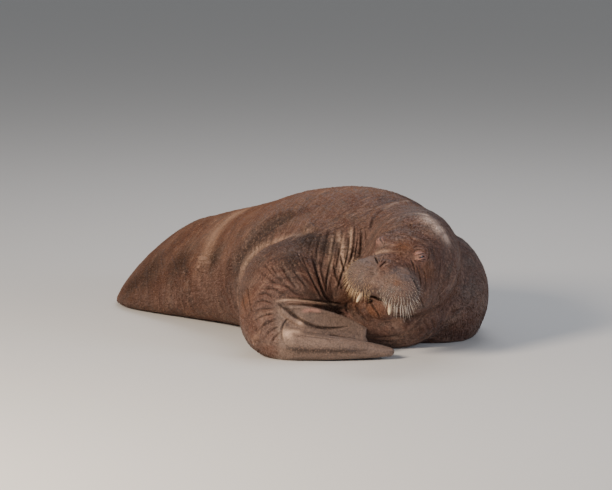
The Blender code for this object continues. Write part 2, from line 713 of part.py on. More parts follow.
def main():
    clear_scene()
    flesh = new_collection("Walrus")
    cutters = new_collection("Cutters")
    forms = [trunk(flesh), limb("neck_form", NECK, flesh), limb("crest", CREST, flesh)]
    forms += [ball("shoulder", c, r, flesh, turn=t) for c, r, t in SHOULDERS]
    for stations in (RIGHT_ARM, LEFT_ARM, RIGHT_LEG, LEFT_LEG):
        forms.append(limb("limb", stations, flesh))
    body = fused("body_form", forms, BODY_VOXEL, BODY_ROUNDS, flesh)
    body = fused("chest", [body, *head_masses(flesh)], SKIN_VOXEL, SKIN_ROUNDS, flesh)
    thinned(body, SKIN_TRIANGLES)
    level(body, cutters)

    frame = head_frame()
    head = split_off(body, "head", frame, *HEAD_ZONE, flesh, cutters)
    head_tree = tree_of(head)
    jaw = split_off(head, "lower_jaw", frame, *JAW_ZONE, flesh, cutters)
    muzzle = split_off(head, "muzzle", frame, *MUZZLE_ZONE, flesh, cutters)
    centre, radii = MOUTH_OPENING
    opening = ball("mouth_opening", centre, radii, cutters, frame, detail=3)
    boolean(jaw, "DIFFERENCE", opening)
    boolean(muzzle, "DIFFERENCE", opening)

    palm = ball("palm", RIGHT_PALM[:3], (RIGHT_PALM[3],) * 3, flesh)
    right_hand = flipper("fore_flipper_right", RIGHT_ARM[2:], RIGHT_HAND, RIGHT_WEB, flesh, [palm])
    level(right_hand, cutters)
    zone = prism("hand_zone", RIGHT_HAND_ZONE, BELOW_FLOOR, ABOVE_HAND, cutters)
    boolean(right_hand, "INTERSECT", zone)
    outline = widened(RIGHT_HAND_ZONE, GAP)
    boolean(body, "DIFFERENCE", prism("hand_cut", outline, BELOW_FLOOR, RIGHT_HAND_STEP, cutters))
    keep_largest(right_hand)
    sheath = copy_of(right_hand, "hand_sheath", cutters)
    apply_modifier(sheath, "DISPLACE", strength=2 * GAP, mid_level=0)
    boolean(body, "DIFFERENCE", sheath, "EXACT")
    hands = [right_hand]
    for name, stub, lengths, place, shape, (right, left) in FLAT_FLIPPERS:
        place = placed(*place)
        digits = fan(place, lengths, *shape)
        form = flipper(name + "_form", stub, digits, FLAT_WEB, flesh)
        level(form, cutters)
        low, high = (0, right, -HAND_REACH), (HAND_REACH, left, HAND_CEILING)
        spare = split_off(body, name + "_end", place, low, high, flesh, cutters)
        bpy.data.objects.remove(spare)
        node = split_off(form, name, place, low, high, flesh, cutters)
        bpy.data.objects.remove(form)
        keep_largest(node)
        claws = HIND_CLAWS if "hind" in name else (FORE_CLAW,) * 5
        tree = tree_of(node)
        join_all(node, [claw(tree, d, Vector((0, 0, 1)), c, flesh) for d, c in zip(digits, claws)])
        hands.append(node)
    tree = tree_of(right_hand)
    claws = []
    for digit in RIGHT_HAND[2:]:
        y, z = digit[-1][1:3]
        out = Vector((0, y - SCOOP_MIDDLE[0], z - SCOOP_MIDDLE[1])).normalized()
        if z > CLAW_CLEAR:
            claws.append(claw(tree, digit, out, FORE_CLAW, flesh))
    join_all(right_hand, claws)

    arm_right = split_beyond(body, "fore_arm_right", flesh, cutters)
    arm_left = split_off(body, "fore_arm_left", placed(*LEFT_ARM_PLACE), *LEFT_ARM_ZONE, flesh, cutters)
    neck = split_beyond(body, "neck", flesh, cutters)
    belly = split_beyond(body, "belly", flesh, cutters)
    hips = split_beyond(belly, "hips", flesh, cutters)
    tail = split_beyond(hips, "tail", flesh, cutters)

    eyes = [
        eye_and_lids(head, head_tree, "eye_left", 1, flesh, cutters),
        eye_and_lids(head, head_tree, "eye_right", -1, flesh, cutters),
    ]
    for side in (-1, 1):
        nostril(muzzle, tree_of(muzzle), side, cutters)
    tusks = []
    for name, side in (("tusk_left", 1), ("tusk_right", -1)):
        socket = tusk(name + "_socket", side, GAP, cutters)
        boolean(muzzle, "DIFFERENCE", socket)
        boolean(jaw, "DIFFERENCE", socket)
        tusks.append(tusk(name, side, 0.0, flesh))

    body.name = "chest"
    whiskers(muzzle, [n for n in flesh.objects if n is not muzzle], flesh)

    for node in (body, head, neck, belly, hips, tail, arm_right, arm_left):
        finish(node, SKIN)
    for node in (muzzle, jaw):
        finish(node, MUZZLE_SKIN)
    for node in hands:
        finish(node, BARE_SKIN)
    for node in tusks:
        finish(node, TUSK_IVORY)
    for node in eyes:
        finish(node, EYEBALL)
    for cutter in list(cutters.objects):
        bpy.data.objects.remove(cutter)
    settle(flesh.objects)


def tree_of(obj):
    return BVHTree.FromObject(obj, bpy.context.evaluated_depsgraph_get())


def finish(node, slot):
    keep_largest(node)
    node.data.materials.clear()
    node.data.materials.append(material(slot))
    node.data.name = node.name


def settle(nodes):
    """Moves all nodes so that the middle of their common underside is the origin."""
    points = np.array([v.co for node in nodes for v in node.data.vertices])
    low, high = points.min(0), points.max(0)
    shift = Vector((-(low[0] + high[0]) / 2, -(low[1] + high[1]) / 2, -low[2]))
    for node in nodes:
        node.data.transform(Matrix.Translation(shift))
    print("shift", tuple(round(v, 5) for v in shift))
    return shift


if __name__ == "__main__":
    main()
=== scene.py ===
import itertools
import math
import bmesh
import bpy
import numpy as np
from mathutils import Matrix, Vector
from mathutils.bvhtree import BVHTree
from mathutils.kdtree import KDTree


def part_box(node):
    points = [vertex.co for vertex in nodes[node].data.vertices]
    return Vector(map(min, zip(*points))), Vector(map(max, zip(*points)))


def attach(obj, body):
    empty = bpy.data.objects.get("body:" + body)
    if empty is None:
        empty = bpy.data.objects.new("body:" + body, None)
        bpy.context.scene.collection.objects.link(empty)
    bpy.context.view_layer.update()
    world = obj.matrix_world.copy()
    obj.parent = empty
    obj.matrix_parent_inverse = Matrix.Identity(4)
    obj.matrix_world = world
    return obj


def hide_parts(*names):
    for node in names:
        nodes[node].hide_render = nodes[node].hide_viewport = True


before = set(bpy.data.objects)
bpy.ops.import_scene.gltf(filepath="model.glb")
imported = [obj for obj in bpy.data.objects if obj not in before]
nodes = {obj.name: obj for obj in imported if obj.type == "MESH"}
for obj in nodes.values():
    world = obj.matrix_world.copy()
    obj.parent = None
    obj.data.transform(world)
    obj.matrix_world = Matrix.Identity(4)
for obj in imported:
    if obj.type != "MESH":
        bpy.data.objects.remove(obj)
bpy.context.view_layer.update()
print("stage: the packed walrus is loaded,", len(nodes), "nodes")

# All places below are measured from the right hand. One known point, the left eyeball, moves them
# to the frame.
place = {"leftEye": (0.37957, -0.12547, 0.35855), "pixel": 0.0035, "distance": 16.0, "lift": 9.0,
         "middle": (306, 245), "aim": (0.0, 0.6, 0.2841)}
eyeLow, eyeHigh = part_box("eye_left")
shift = (eyeLow + eyeHigh) / 2 - Vector(place["leftEye"])
scene = bpy.context.scene


def newObject(name, mesh):
    made = bpy.data.objects.new(name, mesh)
    scene.collection.objects.link(made)
    return made


def fromBmesh(name, bm):
    mesh = bpy.data.meshes.new(name)
    bm.to_mesh(mesh)
    bm.free()
    return newObject(name, mesh)


def smooth(obj):
    faces = obj.data.polygons
    faces.foreach_set("use_smooth", np.ones(len(faces), bool))


def fromLists(name, points, faces):
    mesh = bpy.data.meshes.new(name)
    mesh.from_pydata([tuple(p) for p in points], [], faces)
    mesh.validate()
    return newObject(name, mesh)


def kept(obj, kind, **settings):
    # adds one modifier and keeps its result as the mesh
    modifier = obj.modifiers.new(kind.title(), kind)
    for key, value in settings.items():
        setattr(modifier, key, value)
    made = bpy.data.meshes.new_from_object(obj.evaluated_get(bpy.context.evaluated_depsgraph_get()))
    obj.modifiers.clear()
    obj.data = made


def pointsOf(mesh, kind="co"):
    flat = np.empty(len(mesh.vertices) * 3, np.float32)
    mesh.vertices.foreach_get(kind, flat)
    return flat.reshape(-1, 3).astype(float)


def normalsOf(mesh):
    return pointsOf(mesh, "normal")


def edgesOf(mesh):
    flat = np.empty(len(mesh.edges) * 2, np.int32)
    mesh.edges.foreach_get("vertices", flat)
    return flat.reshape(-1, 2)


def putPoints(mesh, points):
    mesh.vertices.foreach_set("co", points.astype(np.float32).ravel())
    mesh.update()


def treeOf(obj):
    return BVHTree.FromObject(obj, bpy.context.evaluated_depsgraph_get())


def step(low, high, value):
    t = np.clip((value - low) / (high - low), 0, 1)
    return t * t * (3 - 2 * t)


def hump(value):
    return np.exp(-value * value)


def through(stations, steps):
    # points on a smooth curve through the stations
    rows = [np.array(s, float) for s in stations]
    rows = [2 * rows[0] - rows[1], *rows, 2 * rows[-1] - rows[-2]]
    made = []
    for a, b, c, d in zip(rows, rows[1:], rows[2:], rows[3:]):
        for t in np.arange(steps) / steps:
            made.append(0.5 * (2 * b + (c - a) * t + (2 * a - 5 * b + 4 * c - d) * t * t
                               + (3 * b - 3 * c + d - a) * t ** 3))
    return np.array([*made, rows[-2]])


def scattered(ix, iy, iz, seed):
    # a fixed number from 0 to 1 for each lattice point
    n = (ix * 374761393 + iy * 668265263 + iz * 1103515245 + seed * 1274126177) & 0xFFFFFFFF
    n = ((n ^ (n >> 13)) * 1274126177) & 0xFFFFFFFF
    return ((n ^ (n >> 16)) & 0xFFFF) / 65535.0


def grain(p, seed=0):
    # smooth noise from 0 to 1
    base = np.floor(p).astype(np.int64)
    t = p - base
    t = t * t * (3 - 2 * t)
    total = 0
    for corner in range(8):
        bits = [corner >> k & 1 for k in range(3)]
        weight = 1
        for k in range(3):
            weight = weight * (t[:, k] if bits[k] else 1 - t[:, k])
        total = total + weight * scattered(*(base[:, k] + bits[k] for k in range(3)), seed)
    return total


def cracks(p, seed=0):
    # 0 on the lines between irregular plates, rising to 1 at their middles
    base = np.floor(p).astype(np.int64)
    first = np.full(len(p), 9.0)
    second = np.full(len(p), 9.0)
    for dx in (-1, 0, 1):
        for dy in (-1, 0, 1):
            for dz in (-1, 0, 1):
                cell = base + (dx, dy, dz)
                jitter = np.stack([scattered(*cell.T, seed + k) for k in range(3)], 1)
                far = np.linalg.norm(cell + jitter - p, axis=1)
                second = np.minimum(second, np.maximum(first, far))
                first = np.minimum(first, far)
    return np.clip((second - first) * 2.2, 0, 1)


# Camera: the photograph's, low and level with the animal, from a long way off.
lift = math.radians(place["lift"])
aim = Vector(place["aim"]) + shift
back = Vector((0, -math.cos(lift), math.sin(lift)))
upward = Vector((0, math.sin(lift), math.cos(lift)))
camera = bpy.data.objects.new("camera", bpy.data.cameras.new("camera"))
scene.collection.objects.link(camera)
camera.location = aim + back * place["distance"]
camera.rotation_euler = (-back).to_track_quat("-Z", "Y").to_euler()
camera.data.sensor_width = 36
camera.data.lens = 36 * place["distance"] / (2 * 306 * place["pixel"])
camera.data.clip_end = 100
scene.camera = camera


def sightLine(px, py):
    # the line from the camera through a place in the photograph
    spot = aim + Vector((1, 0, 0)) * (px - place["middle"][0]) * place["pixel"]
    spot = spot + upward * (place["middle"][1] - py) * place["pixel"]
    return camera.location, (spot - camera.location).normalized()


# Head: the same masses as the solids have, in the head's own frame of forward, left and up.
head = {
    "mouth": (0.243, -0.140, 0.217), "heading": -118.3, "dip": 7.8, "roll": -16.0,
    "masses": [
        ((-0.185, 0, 0.090), (0.165, 0.126, 0.112)), ((-0.085, 0, 0.095), (0.100, 0.080, 0.062)),
        ((-0.022, 0, 0.094), (0.052, 0.058, 0.048)), ((-0.005, 0, 0.058), (0.050, 0.075, 0.050)),
        ((-0.110, 0, -0.018), (0.115, 0.092, 0.062)), ((-0.042, 0, -0.042), (0.056, 0.056, 0.042)),
        ((-0.190, 0, -0.010), (0.150, 0.125, 0.085))],
    "pairs": [
        ((-0.010, 0.062, 0.058), (0.063, 0.071, 0.062)), ((-0.135, 0.058, 0.138), (0.060, 0.048, 0.044)),
        ((-0.130, 0.074, 0.040), (0.085, 0.062, 0.075)), ((-0.034, 0.050, 0.084), (0.052, 0.052, 0.046))],
}
headFrame = (Matrix.Translation(Vector(head["mouth"]) + shift)
             @ Matrix.Rotation(math.radians(head["heading"]), 4, "Z")
             @ Matrix.Rotation(math.radians(head["dip"]), 4, "Y")
             @ Matrix.Rotation(math.radians(head["roll"]), 4, "X"))
headTurn = headFrame.to_3x3()
headBack = np.array(headFrame.inverted())


def inHead(points):
    return points @ headBack[:3, :3].T + headBack[:3, 3]


# Skin: one surface over all the flesh, finest on the head and the near hand.
skinMake = {"voxel": 0.005, "rounds": 14, "thinRounds": 3, "thinReach": 0.03, "coatDepth": 0.0008,
            "drift": 0.50, "swell": -0.53, "weld": 1e-5}
fleshNodes = sorted(n for n in nodes if not n.startswith(("eye", "tusk")))
thinNodes = ["fore_flipper_right", "fore_flipper_left", "hind_flipper_right", "hind_flipper_left"]


def ball(bm, frameOf, centre, radii, detail=4):
    made = bmesh.ops.create_icosphere(bm, subdivisions=detail, radius=1)
    spot = frameOf @ Matrix.Translation(centre) @ Matrix.Diagonal((*radii, 1))
    bmesh.ops.transform(bm, matrix=spot, verts=made["verts"])


# Soft flesh that fills the corner between the left fore flipper and the flank
armpit = {"at": (0.495, 0.675, 0.0), "turn": 124, "centre": (0.12, 0.135, 0.062), "radii": (0.25, 0.062, 0.084)}


def fleshForm():
    bm = bmesh.new()
    for name in fleshNodes:
        if name not in ("muzzle", "lower_jaw"):
            bm.from_mesh(nodes[name].data)
    bmesh.ops.remove_doubles(bm, verts=bm.verts, dist=skinMake["weld"])
    for centre, radii in head["masses"]:
        ball(bm, headFrame, centre, radii)
    for (f, l, u), radii in head["pairs"]:
        for side in (-1, 1):
            ball(bm, headFrame, (f, l * side, u), radii)
    turn = Matrix.Rotation(math.radians(armpit["turn"]), 4, "Z")
    ball(bm, Matrix.Translation(Vector(armpit["at"]) + shift) @ turn, armpit["centre"], armpit["radii"])
    made = fromBmesh("walrus_skin", bm)
    kept(made, "REMESH", mode="VOXEL", voxel_size=skinMake["voxel"], adaptivity=0)
    return made


def keepLargest(obj):
    edges = edgesOf(obj.data)
    label = np.arange(len(obj.data.vertices))
    while True:
        low = np.minimum(label[edges[:, 0]], label[edges[:, 1]])
        new = label.copy()
        np.minimum.at(new, edges[:, 0], low)
        np.minimum.at(new, edges[:, 1], low)
        new = new[new]
        if (new == label).all():
            break
        label = new
    values, counts = np.unique(label, return_counts=True)
    lost = np.nonzero(label != values[counts.argmax()])[0]
    if len(lost):
        bm = bmesh.new()
        bm.from_mesh(obj.data)
        bm.verts.ensure_lookup_table()
        bmesh.ops.delete(bm, geom=[bm.verts[i] for i in lost], context="VERTS")
        bm.to_mesh(obj.data)
        bm.free()


def relaxed(points, edges, rounds, share):
    # evens the surface without shrinking it
    a, b = edges.T
    count = np.bincount(a, minlength=len(points)) + np.bincount(b, minlength=len(points))
    for k in range(rounds):
        for amount in (skinMake["drift"], skinMake["swell"]):
            move = np.empty_like(points)
            for c in range(3):
                total = (np.bincount(a, points[b, c], len(points))
                         + np.bincount(b, points[a, c], len(points)))
                move[:, c] = total / count - points[:, c]
            points = points + move * amount * share[:, None]
    return points


def nearness(points, names, reach):
    # 1 on the named CAD nodes, falling to 0 at the given distance
    made = np.zeros(len(points))
    for name in names:
        low, high = (np.array(corner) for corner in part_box(name))
        close = np.nonzero(((points > low - reach) & (points < high + reach)).all(1))[0]
        tree = treeOf(nodes[name])
        far = np.array([tree.find_nearest(points[i])[3] for i in close])
        made[close] = np.maximum(made[close], 1 - step(0, reach, far))
    return made


def finer(obj, wanted):
    # splits each face of the wanted points into four
    bm = bmesh.new()
    bm.from_mesh(obj.data)
    bm.verts.ensure_lookup_table()
    edges = [e for e in bm.edges if wanted[e.verts[0].index] and wanted[e.verts[1].index]]
    bmesh.ops.subdivide_edges(bm, edges=edges, cuts=1, use_grid_fill=True)
    bm.to_mesh(obj.data)
    bm.free()


skin = fleshForm()
keepLargest(skin)
print("stage: the skin's first surface,", len(skin.data.polygons), "faces")
base = pointsOf(skin.data)
thin = nearness(base, thinNodes, skinMake["thinReach"])
base = relaxed(base, edgesOf(skin.data), skinMake["thinRounds"], np.ones(len(base)))
base = relaxed(base, edgesOf(skin.data), skinMake["rounds"], 1 - thin)
putPoints(skin.data, base)


eye = {"radius": 0.0135, "look": (0.42, 0.80, 0.36), "lidUp": (0.12, 0, 1)}
eyePlaces = []
for name, side in (("eye_left", 1), ("eye_right", -1)):
    low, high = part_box(name)
    look = (headTurn @ Vector((eye["look"][0], eye["look"][1] * side, eye["look"][2]))).normalized()
    across = (headTurn @ Vector(eye["lidUp"])).cross(look).normalized()
    turn = Matrix((across, look.cross(across), look)).transposed().to_4x4()
    eyePlaces.append(Matrix.Translation((low + high) / 2) @ turn)


# Where the skin is split finer: boxes in the head's frame, from the right hand and round each slit,
# and how far round each eye.
fineMake = {"head": ((-0.30, -0.26, -0.16), (9, 0.26, 0.30)), "hand": ((-0.11, -9, -9), (0.33, 0.10, 0.20)),
            "face": ((-0.085, -0.16, -0.09), (9, 0.16, 0.16)), "slit": ((-0.016, -0.012, 0), (0.016, 0.012, 9)),
            "orbit": 0.055, "lids": 0.026}


def inside(points, zone):
    low, high = fineMake[zone]
    return ((points > low) & (points < high)).all(1)


def roundEyes(points, reach):
    made = np.zeros(len(points), bool)
    for spot in eyePlaces:
        made |= np.linalg.norm(points - np.array(spot.translation), axis=1) < fineMake[reach]
    return made


def atSlits(points):
    made = np.zeros(len(points), bool)
    for spot in eyePlaces:
        turned = np.array(spot.inverted())
        made |= inside(points @ turned[:3, :3].T + turned[:3, 3], "slit")
    return made


levels = ((lambda p: inside(inHead(p), "head") | inside(p - np.array(shift), "hand"), 3),
          (lambda p: inside(inHead(p), "face") | roundEyes(p, "orbit"), 2),
          (lambda p: roundEyes(p, "lids"), 2), (atSlits, 1))
for level, rounds in levels:
    finer(skin, level(pointsOf(skin.data)))
    base = pointsOf(skin.data)
    near = level(base).astype(float)
    putPoints(skin.data, relaxed(base, edgesOf(skin.data), rounds, near))
print("stage: the skin is made finer where it is looked at,", len(skin.data.polygons), "faces")

# The body's own line from tail to nose, for the lie of the coat and the run of its wrinkles.
bodyLine = through([
    (-0.330, 1.600, 0.040), (-0.340, 1.530, 0.045), (-0.362, 1.420, 0.065), (-0.392, 1.280, 0.100),
    (-0.388, 1.110, 0.140), (-0.268, 0.930, 0.170), (-0.098, 0.745, 0.200), (0.010, 0.610, 0.230),
    (0.130, 0.470, 0.250), (0.240, 0.350, 0.270), (0.330, 0.230, 0.290), (0.360, 0.110, 0.300),
    (0.340, 0.000, 0.306), (0.300, -0.070, 0.290), (0.235, -0.155, 0.240)], 3) + np.array(shift)
lineSteps = np.linalg.norm(np.diff(bodyLine, axis=0), axis=1)
lineAt = np.concatenate([[0], np.cumsum(lineSteps)])
hipsTo, backTo, noseAt = (lineAt[3 * k] for k in (5, 7, 12))  # how far along the parts end
lineBlend = 0.02


def alongBody(points):
    # for each point, how far along the body it is and which way is forward
    total = np.zeros(len(points))
    at = np.zeros(len(points))
    way = np.zeros((len(points), 3))
    for k in range(len(lineSteps)):
        a, b = bodyLine[k], bodyLine[k + 1]
        t = np.clip(((points - a) @ (b - a)) / lineSteps[k] ** 2, 0, 1)
        far = np.linalg.norm(points - (a + t[:, None] * (b - a)), axis=1)
        weight = np.exp(-far / lineBlend) + 1e-30
        total += weight
        at += weight * (lineAt[k] + t * lineSteps[k])
        way += weight[:, None] * (b - a) / lineSteps[k]
    way /= np.linalg.norm(way, axis=1, keepdims=True)
    return at / total, way


base = pointsOf(skin.data)
outward = normalsOf(skin.data)
local = base - np.array(shift)
inFace = inHead(base)
bodyAt, bodyWay = alongBody(base)
smoothTree = treeOf(skin)

# How softly each part of the body gives way to the next.
masks = {"flipper": 0.035, "muzzle": (1.04, 1.40), "head": (-0.34, -0.20), "chin": -0.2,
         "neckIn": (-0.10, 0.12), "neckOut": (-0.02, 0.08)}
flipper = nearness(base, thinNodes, masks["flipper"])
padNear = np.full(len(base), 9.0)
for side in (-1, 1):
    (f, l, u), radii = head["pairs"][0]
    padNear = np.minimum(padNear, np.linalg.norm((inFace - (f, l * side, u)) / radii, axis=1))
muzzle = 1 - step(*masks["muzzle"], padNear)
headNear = step(*masks["head"], inFace[:, 0]) * (inFace[:, 2] > masks["chin"])
neck = step(*masks["neckIn"], bodyAt - backTo) * (1 - step(*masks["neckOut"], bodyAt - noseAt))

# Folds drawn from the photograph: depth (a ridge's is negative) and half width in millimetres, and the
# lines of that size in its pixels.
folds = {
    "neck": [(4.5, 3.6, "362,226 361,250 358,262"), (4, 3.4, "355,220 354,246 349,268",
              "344,222 340,250 334,280", "330,224 325,250 321,272"), (5, 3.6,
              "350,224 348,252 342,275 337,292"), (5, 3.8, "337,226 333,250 328,275 325,296",
              "323,228 317,252 318,274 326,299"), (7, 5.5, "312,250 317,272 324,294 334,306"), (2.5, 2.4,
              "366,228 366,244 363,254", "358,236 356,252 354,262", "347,240 345,256 341,268",
              "334,250 331,266 329,280"), (3, 3, "316,232 310,246 309,258", "309,234 303,244 301,254")],
    "chest": [(5, 4, "291,266 299,277 309,289", "340,252 344,268 349,282"), (4, 3.4,
               "301,253 307,268 313,282"), (4.5, 4, "280,262 288,276 298,290", "306,262 313,280 322,298"),
              (4, 3.6, "270,264 278,276 288,287", "333,262 338,280 345,292"), (3, 3,
               "286,254 294,266 303,280", "296,250 302,262 308,274", "262,262 271,272 281,282",
               "258,270 267,277 276,284", "284,284 294,292 306,297", "316,288 324,300 336,309")],
    "shoulder": [(-16, 18, "313,224 301,233 288,238 271,243 257,252 244,269 238,290"), (26, 20,
                  "298,211 281,221 263,231 248,245 237,262 231,286"), (-3.5, 5, "313,224 301,234 289,243")],
    "flank": [(-18, 22, "261,202 245,209 232,217 217,231 209,249 198,271"), (8, 12,
               "286,204 262,214 244,224 232,240 220,262"), (9, 14, "240,197 222,209 204,224 193,248 184,276"),
              (-5, 12, "226,197 206,212 188,230 176,254")],
    "elbow": [(4, 3.4, "266,282 279,283 290,288 298,294", "260,288 271,288 281,293 290,299",
               "256,295 266,293 275,297", "252,303 262,300 275,303", "250,312 262,308 275,308",
               "252,322 263,315 276,313", "256,332 266,323 279,318"), (3.5, 3.2, "262,341 270,331 281,325",
               "270,346 275,337 282,331"), (5, 3.6, "242,286 243,300 246,316"), (4, 3.2,
               "247,284 249,300 251,312")],
    "cheek": [(8, 4.5, "410,274 416,284 418.5,293 416,304"), (3.5, 2.6, "440,255 441,266 437,282"), (3, 2.2,
               "428,246 429.5,254 428,261", "433,246 434.5,254 433,261"), (3, 2.4, "411,258 414,267 416,277"),
              (2.5, 2.2, "416,264 420,276 421,288"), (2.5, 2.4, "423,268 426,280 424,296",
               "430,270 432,284 430,300", "446,262 449,276 446,290", "454,262 457,278 453,296",
               "462,258 465,276 462,298", "470,262 473,280 470,304", "420,298 424,308 425,318",
               "405,262 409,268 412,275", "438,290 440,300 437,312")],
    "brow": [(2, 2.6, "392,238 400,234 408,234"), (2, 2.4, "388,231 397,226 405,225",
              "396,247 403,244 409,245", "380,234 386,229 394,221", "376,242 382,238 389,236"), (-4.5, 3.2,
              "408.5,226 410,223.5 414,223.5"), (3, 2.2, "410,229 413,228.5 416.5,226"), (2, 2.2,
              "383,224 392,217 402,213", "380,248 388,245 396,246")],
    "crown": [(3.6, 5, "370,234 371.5,226 374,218 382,210.5 396,203.5 412,200 424,201"), (2, 3,
               "366,222 369,212 379,204 392,199")],
    "orbit": [(3, 2.2, "413.5,252.5 417,249.4 422,249.6 426,252.5"), (2.5, 2, "412,249 417,246 424,246.5",
               "414,259.5 418,262 424,261.2"), (2, 2, "426.5,253 429,256 427,261")],
    "throat": [(6, 3.6, "369,301 375,310 381,320"), (4, 4, "356,304 360,314 368,324",
                "346,302 348,314 354,326")],
    "hips": [(4.5, 3.4, "148,262 147,280 149,300", "172,254 176,266 180,280"), (3.5, 3,
              "158,262 157,274 156,288", "186,250 184,268 186,284", "166,246 162,258 164,272",
              "138,268 136,282 139,294")],
    "nape": [(2.5, 2.6, "300,196 318,205 330,216", "290,200 306,209 318,220", "312,194 330,202 343,212",
              "328,194 344,201 356,210", "345,195 358,201 368,208")],
    "hand": [(6, 3.4, "276,300 282,306 288,311 296,317 309,324 322,328 340,328 352,326"), (5, 3.2,
              "280,298 292,298.5 312,300.5 334,303 346,307"), (4, 3.4, "289,318 284,324 281.5,333 284,345"),
             (-2.5, 3, "283,303 300,303 322,305 338,308"), (2.5, 3, "300,335 316,337 336,340")],
}


strokeMake = {"steps": 6, "jump": 0.06, "facing": 0.05, "wide": 10, "wideFacing": 0.42}


def stroke(line, facing=strokeMake["facing"]):
    # the surface points under a line drawn in the photograph, leaving out what is seen too edge-on
    found = []
    for px, py in through([spot.split(",") for spot in line.split()], strokeMake["steps"]):
        start, way = sightLine(px, py)
        hit, normal, _, _ = smoothTree.ray_cast(start, way)
        if hit is None or -normal.dot(way) <= facing:
            continue
        if not found or (hit - found[-1]).length < strokeMake["jump"]:
            found.append(hit)
    return np.array(found)


def lineDistance(points, line, reach):
    # the points near a line, how far each is from it, and how far along
    close = np.nonzero(((points > line.min(0) - reach) & (points < line.max(0) + reach)).all(1))[0]
    q = points[close]
    best = np.full(len(q), 9.0)
    share = np.zeros(len(q))
    for k in range(len(line) - 1):
        a, b = line[k], line[k + 1]
        t = np.clip(((q - a) @ (b - a)) / max((b - a) @ (b - a), 1e-12), 0, 1)
        far = np.linalg.norm(q - (a + t[:, None] * (b - a)), axis=1)
        nearer = far < best
        best[nearer] = far[nearer]
        share[nearer] = ((k + t) / (len(line) - 1))[nearer]
    return close, best, share


rise = np.zeros(len(base))  # along the skin's outward direction, in metres
crease = np.zeros(len(base))  # 1 at the bottom of a fold, where shade is painted
crest = np.zeros(len(base))  # 1 on the top of a ridge, where a highlight is painted
darkAt = 0.005  # painted shade is full at the bottom of a fold of this depth


def addFold(line, depth, half):
    if len(line) < 2:
        return
    depth, half = depth / 1000, half / 1000
    close, far, share = lineDistance(base, line, half * 4)  # a fold's roll ends within four half widths
    taper = step(0, 0.22, share) * (1 - step(0.78, 1, share))
    groove = hump(far / half) * taper
    roll = hump((far - 2 * half) / half) * taper
    rise[close] += -depth * groove + 0.30 * depth * roll
    # the bottom of a fold is given painted shade, darker the more it sinks, and the top of a ridge a painted
    # highlight
    if depth > 0:
        crease[close] = np.maximum(crease[close], groove * min(1, depth / darkAt))
    else:
        crest[close] = np.maximum(crest[close], groove)


for depth, half, *lines in itertools.chain(*folds.values()):
    for line in lines:
        facing = strokeMake["wideFacing"] if half > strokeMake["wide"] else strokeMake["facing"]
        addFold(stroke(line, facing), depth, half)
print("stage: the photograph's folds are pressed in")

# Wrinkles on every side: rings round the neck and trunk, plates of cracked hide between them, with painted
# shade in their grooves.
wrinkle = {"ringStep": 0.022, "ringDepth": 0.0026, "lineStep": 0.017, "lineDepth": 0.0022, "lineLong": 0.085,
           "plate": 0.019, "plateDepth": 0.0011, "slow": 0.11, "roll": 0.0035, "warp": 0.06, "floor": 0.02}


def inPatches(least, size, seed, low, high):
    # from the least share up to 1, in smooth patches of that size over the body
    return least + (1 - least) * step(low, high, grain(local / size, seed))


calm = (1 - 0.75 * muzzle) * (0.5 + 0.5 * neck)
slow = grain(local / wrinkle["slow"], 3) - 0.5
warp = (grain(local / wrinkle["warp"], 5) - 0.5) * 1.6 + slow * 2.5
ringPhase = bodyAt / wrinkle["ringStep"] + warp
ringWave = np.abs(np.sin(math.pi * ringPhase))
ringShare = neck * (1 - flipper) * inPatches(0.35, 0.07, 9, 0.35, 0.62)
rise += wrinkle["ringDepth"] * (ringWave ** 0.6 - 0.6) * ringShare
crease = np.maximum(crease, (1 - ringWave) ** 3 * ringShare * 0.8)

across = local / wrinkle["lineLong"]
across[:, 0] += bodyAt / wrinkle["lineStep"]
lines = np.abs(grain(across, 21) - 0.5) * 2
lineShare = (1 - flipper) * calm * inPatches(0.25, 0.12, 23, 0.35, 0.7)
rise += wrinkle["lineDepth"] * (np.minimum(lines * 2.2, 1) - 0.7) * lineShare
crease = np.maximum(crease, (1 - np.minimum(lines * 3.2, 1)) * lineShare * 0.75)

plates = cracks(local / wrinkle["plate"] + 0.35 * warp[:, None], 31)
plateShare = calm * inPatches(0.4, 0.09, 33, 0.3, 0.65) * (1 - 0.5 * flipper)
rise += wrinkle["plateDepth"] * (np.minimum(plates * 2.5, 1) - 0.8) * plateShare
crease = np.maximum(crease, (1 - np.minimum(plates * 3.5, 1)) * plateShare * 0.5)
rise += wrinkle["roll"] * slow * (1 - muzzle) * (1 - flipper)
rise *= step(0, wrinkle["floor"], base[:, 2])  # what rests on the floor stays flat

shaped = base + outward * (rise - skinMake["coatDepth"])[:, None]
shaped[:, 2] = np.maximum(shaped[:, 2], 0.0)

# Mouth and nostrils: slots pressed in along lines on the skin, with painted shade in them and a painted
# highlight on the nostrils' rims.
mouth = {"depth": 9, "half": 3.4, "swing": 62, "height": 0.001, "from": -0.05, "reach": 0.25, "points": 25}
slots = [(12, 5, "360.5,294 364,298 368,300.5 373,301.5"),  # the mouth's dark corner
         (7, 2.6, "374.8,255.5 376.4,259.5 377.6,264"), (7, 2.6, "387.5,260 383.5,263 379,267.5"),  # nostrils
         (-3, 2.4, "379.5,264 382,258 384.5,253.5"), (-3, 2.4, "382,267.5 386,264.5 390,263"),  # and their rims
         (-3, 2.4, "373,253.5 374.5,256")]
mouthLine = []
for angle in np.linspace(-mouth["swing"], mouth["swing"], mouth["points"]):
    way = Vector((math.cos(math.radians(angle)), math.sin(math.radians(angle)), 0))
    start = headFrame @ (Vector((mouth["from"], 0, mouth["height"])) + way * mouth["reach"])
    hit = smoothTree.ray_cast(start, -(headTurn @ way))[0]
    if hit is not None:
        mouthLine.append(hit)
rise[:] = 0
addFold(np.array(mouthLine), mouth["depth"], mouth["half"])
for depth, half, line in slots:
    addFold(stroke(line), depth, half)
shaped += outward * rise[:, None]

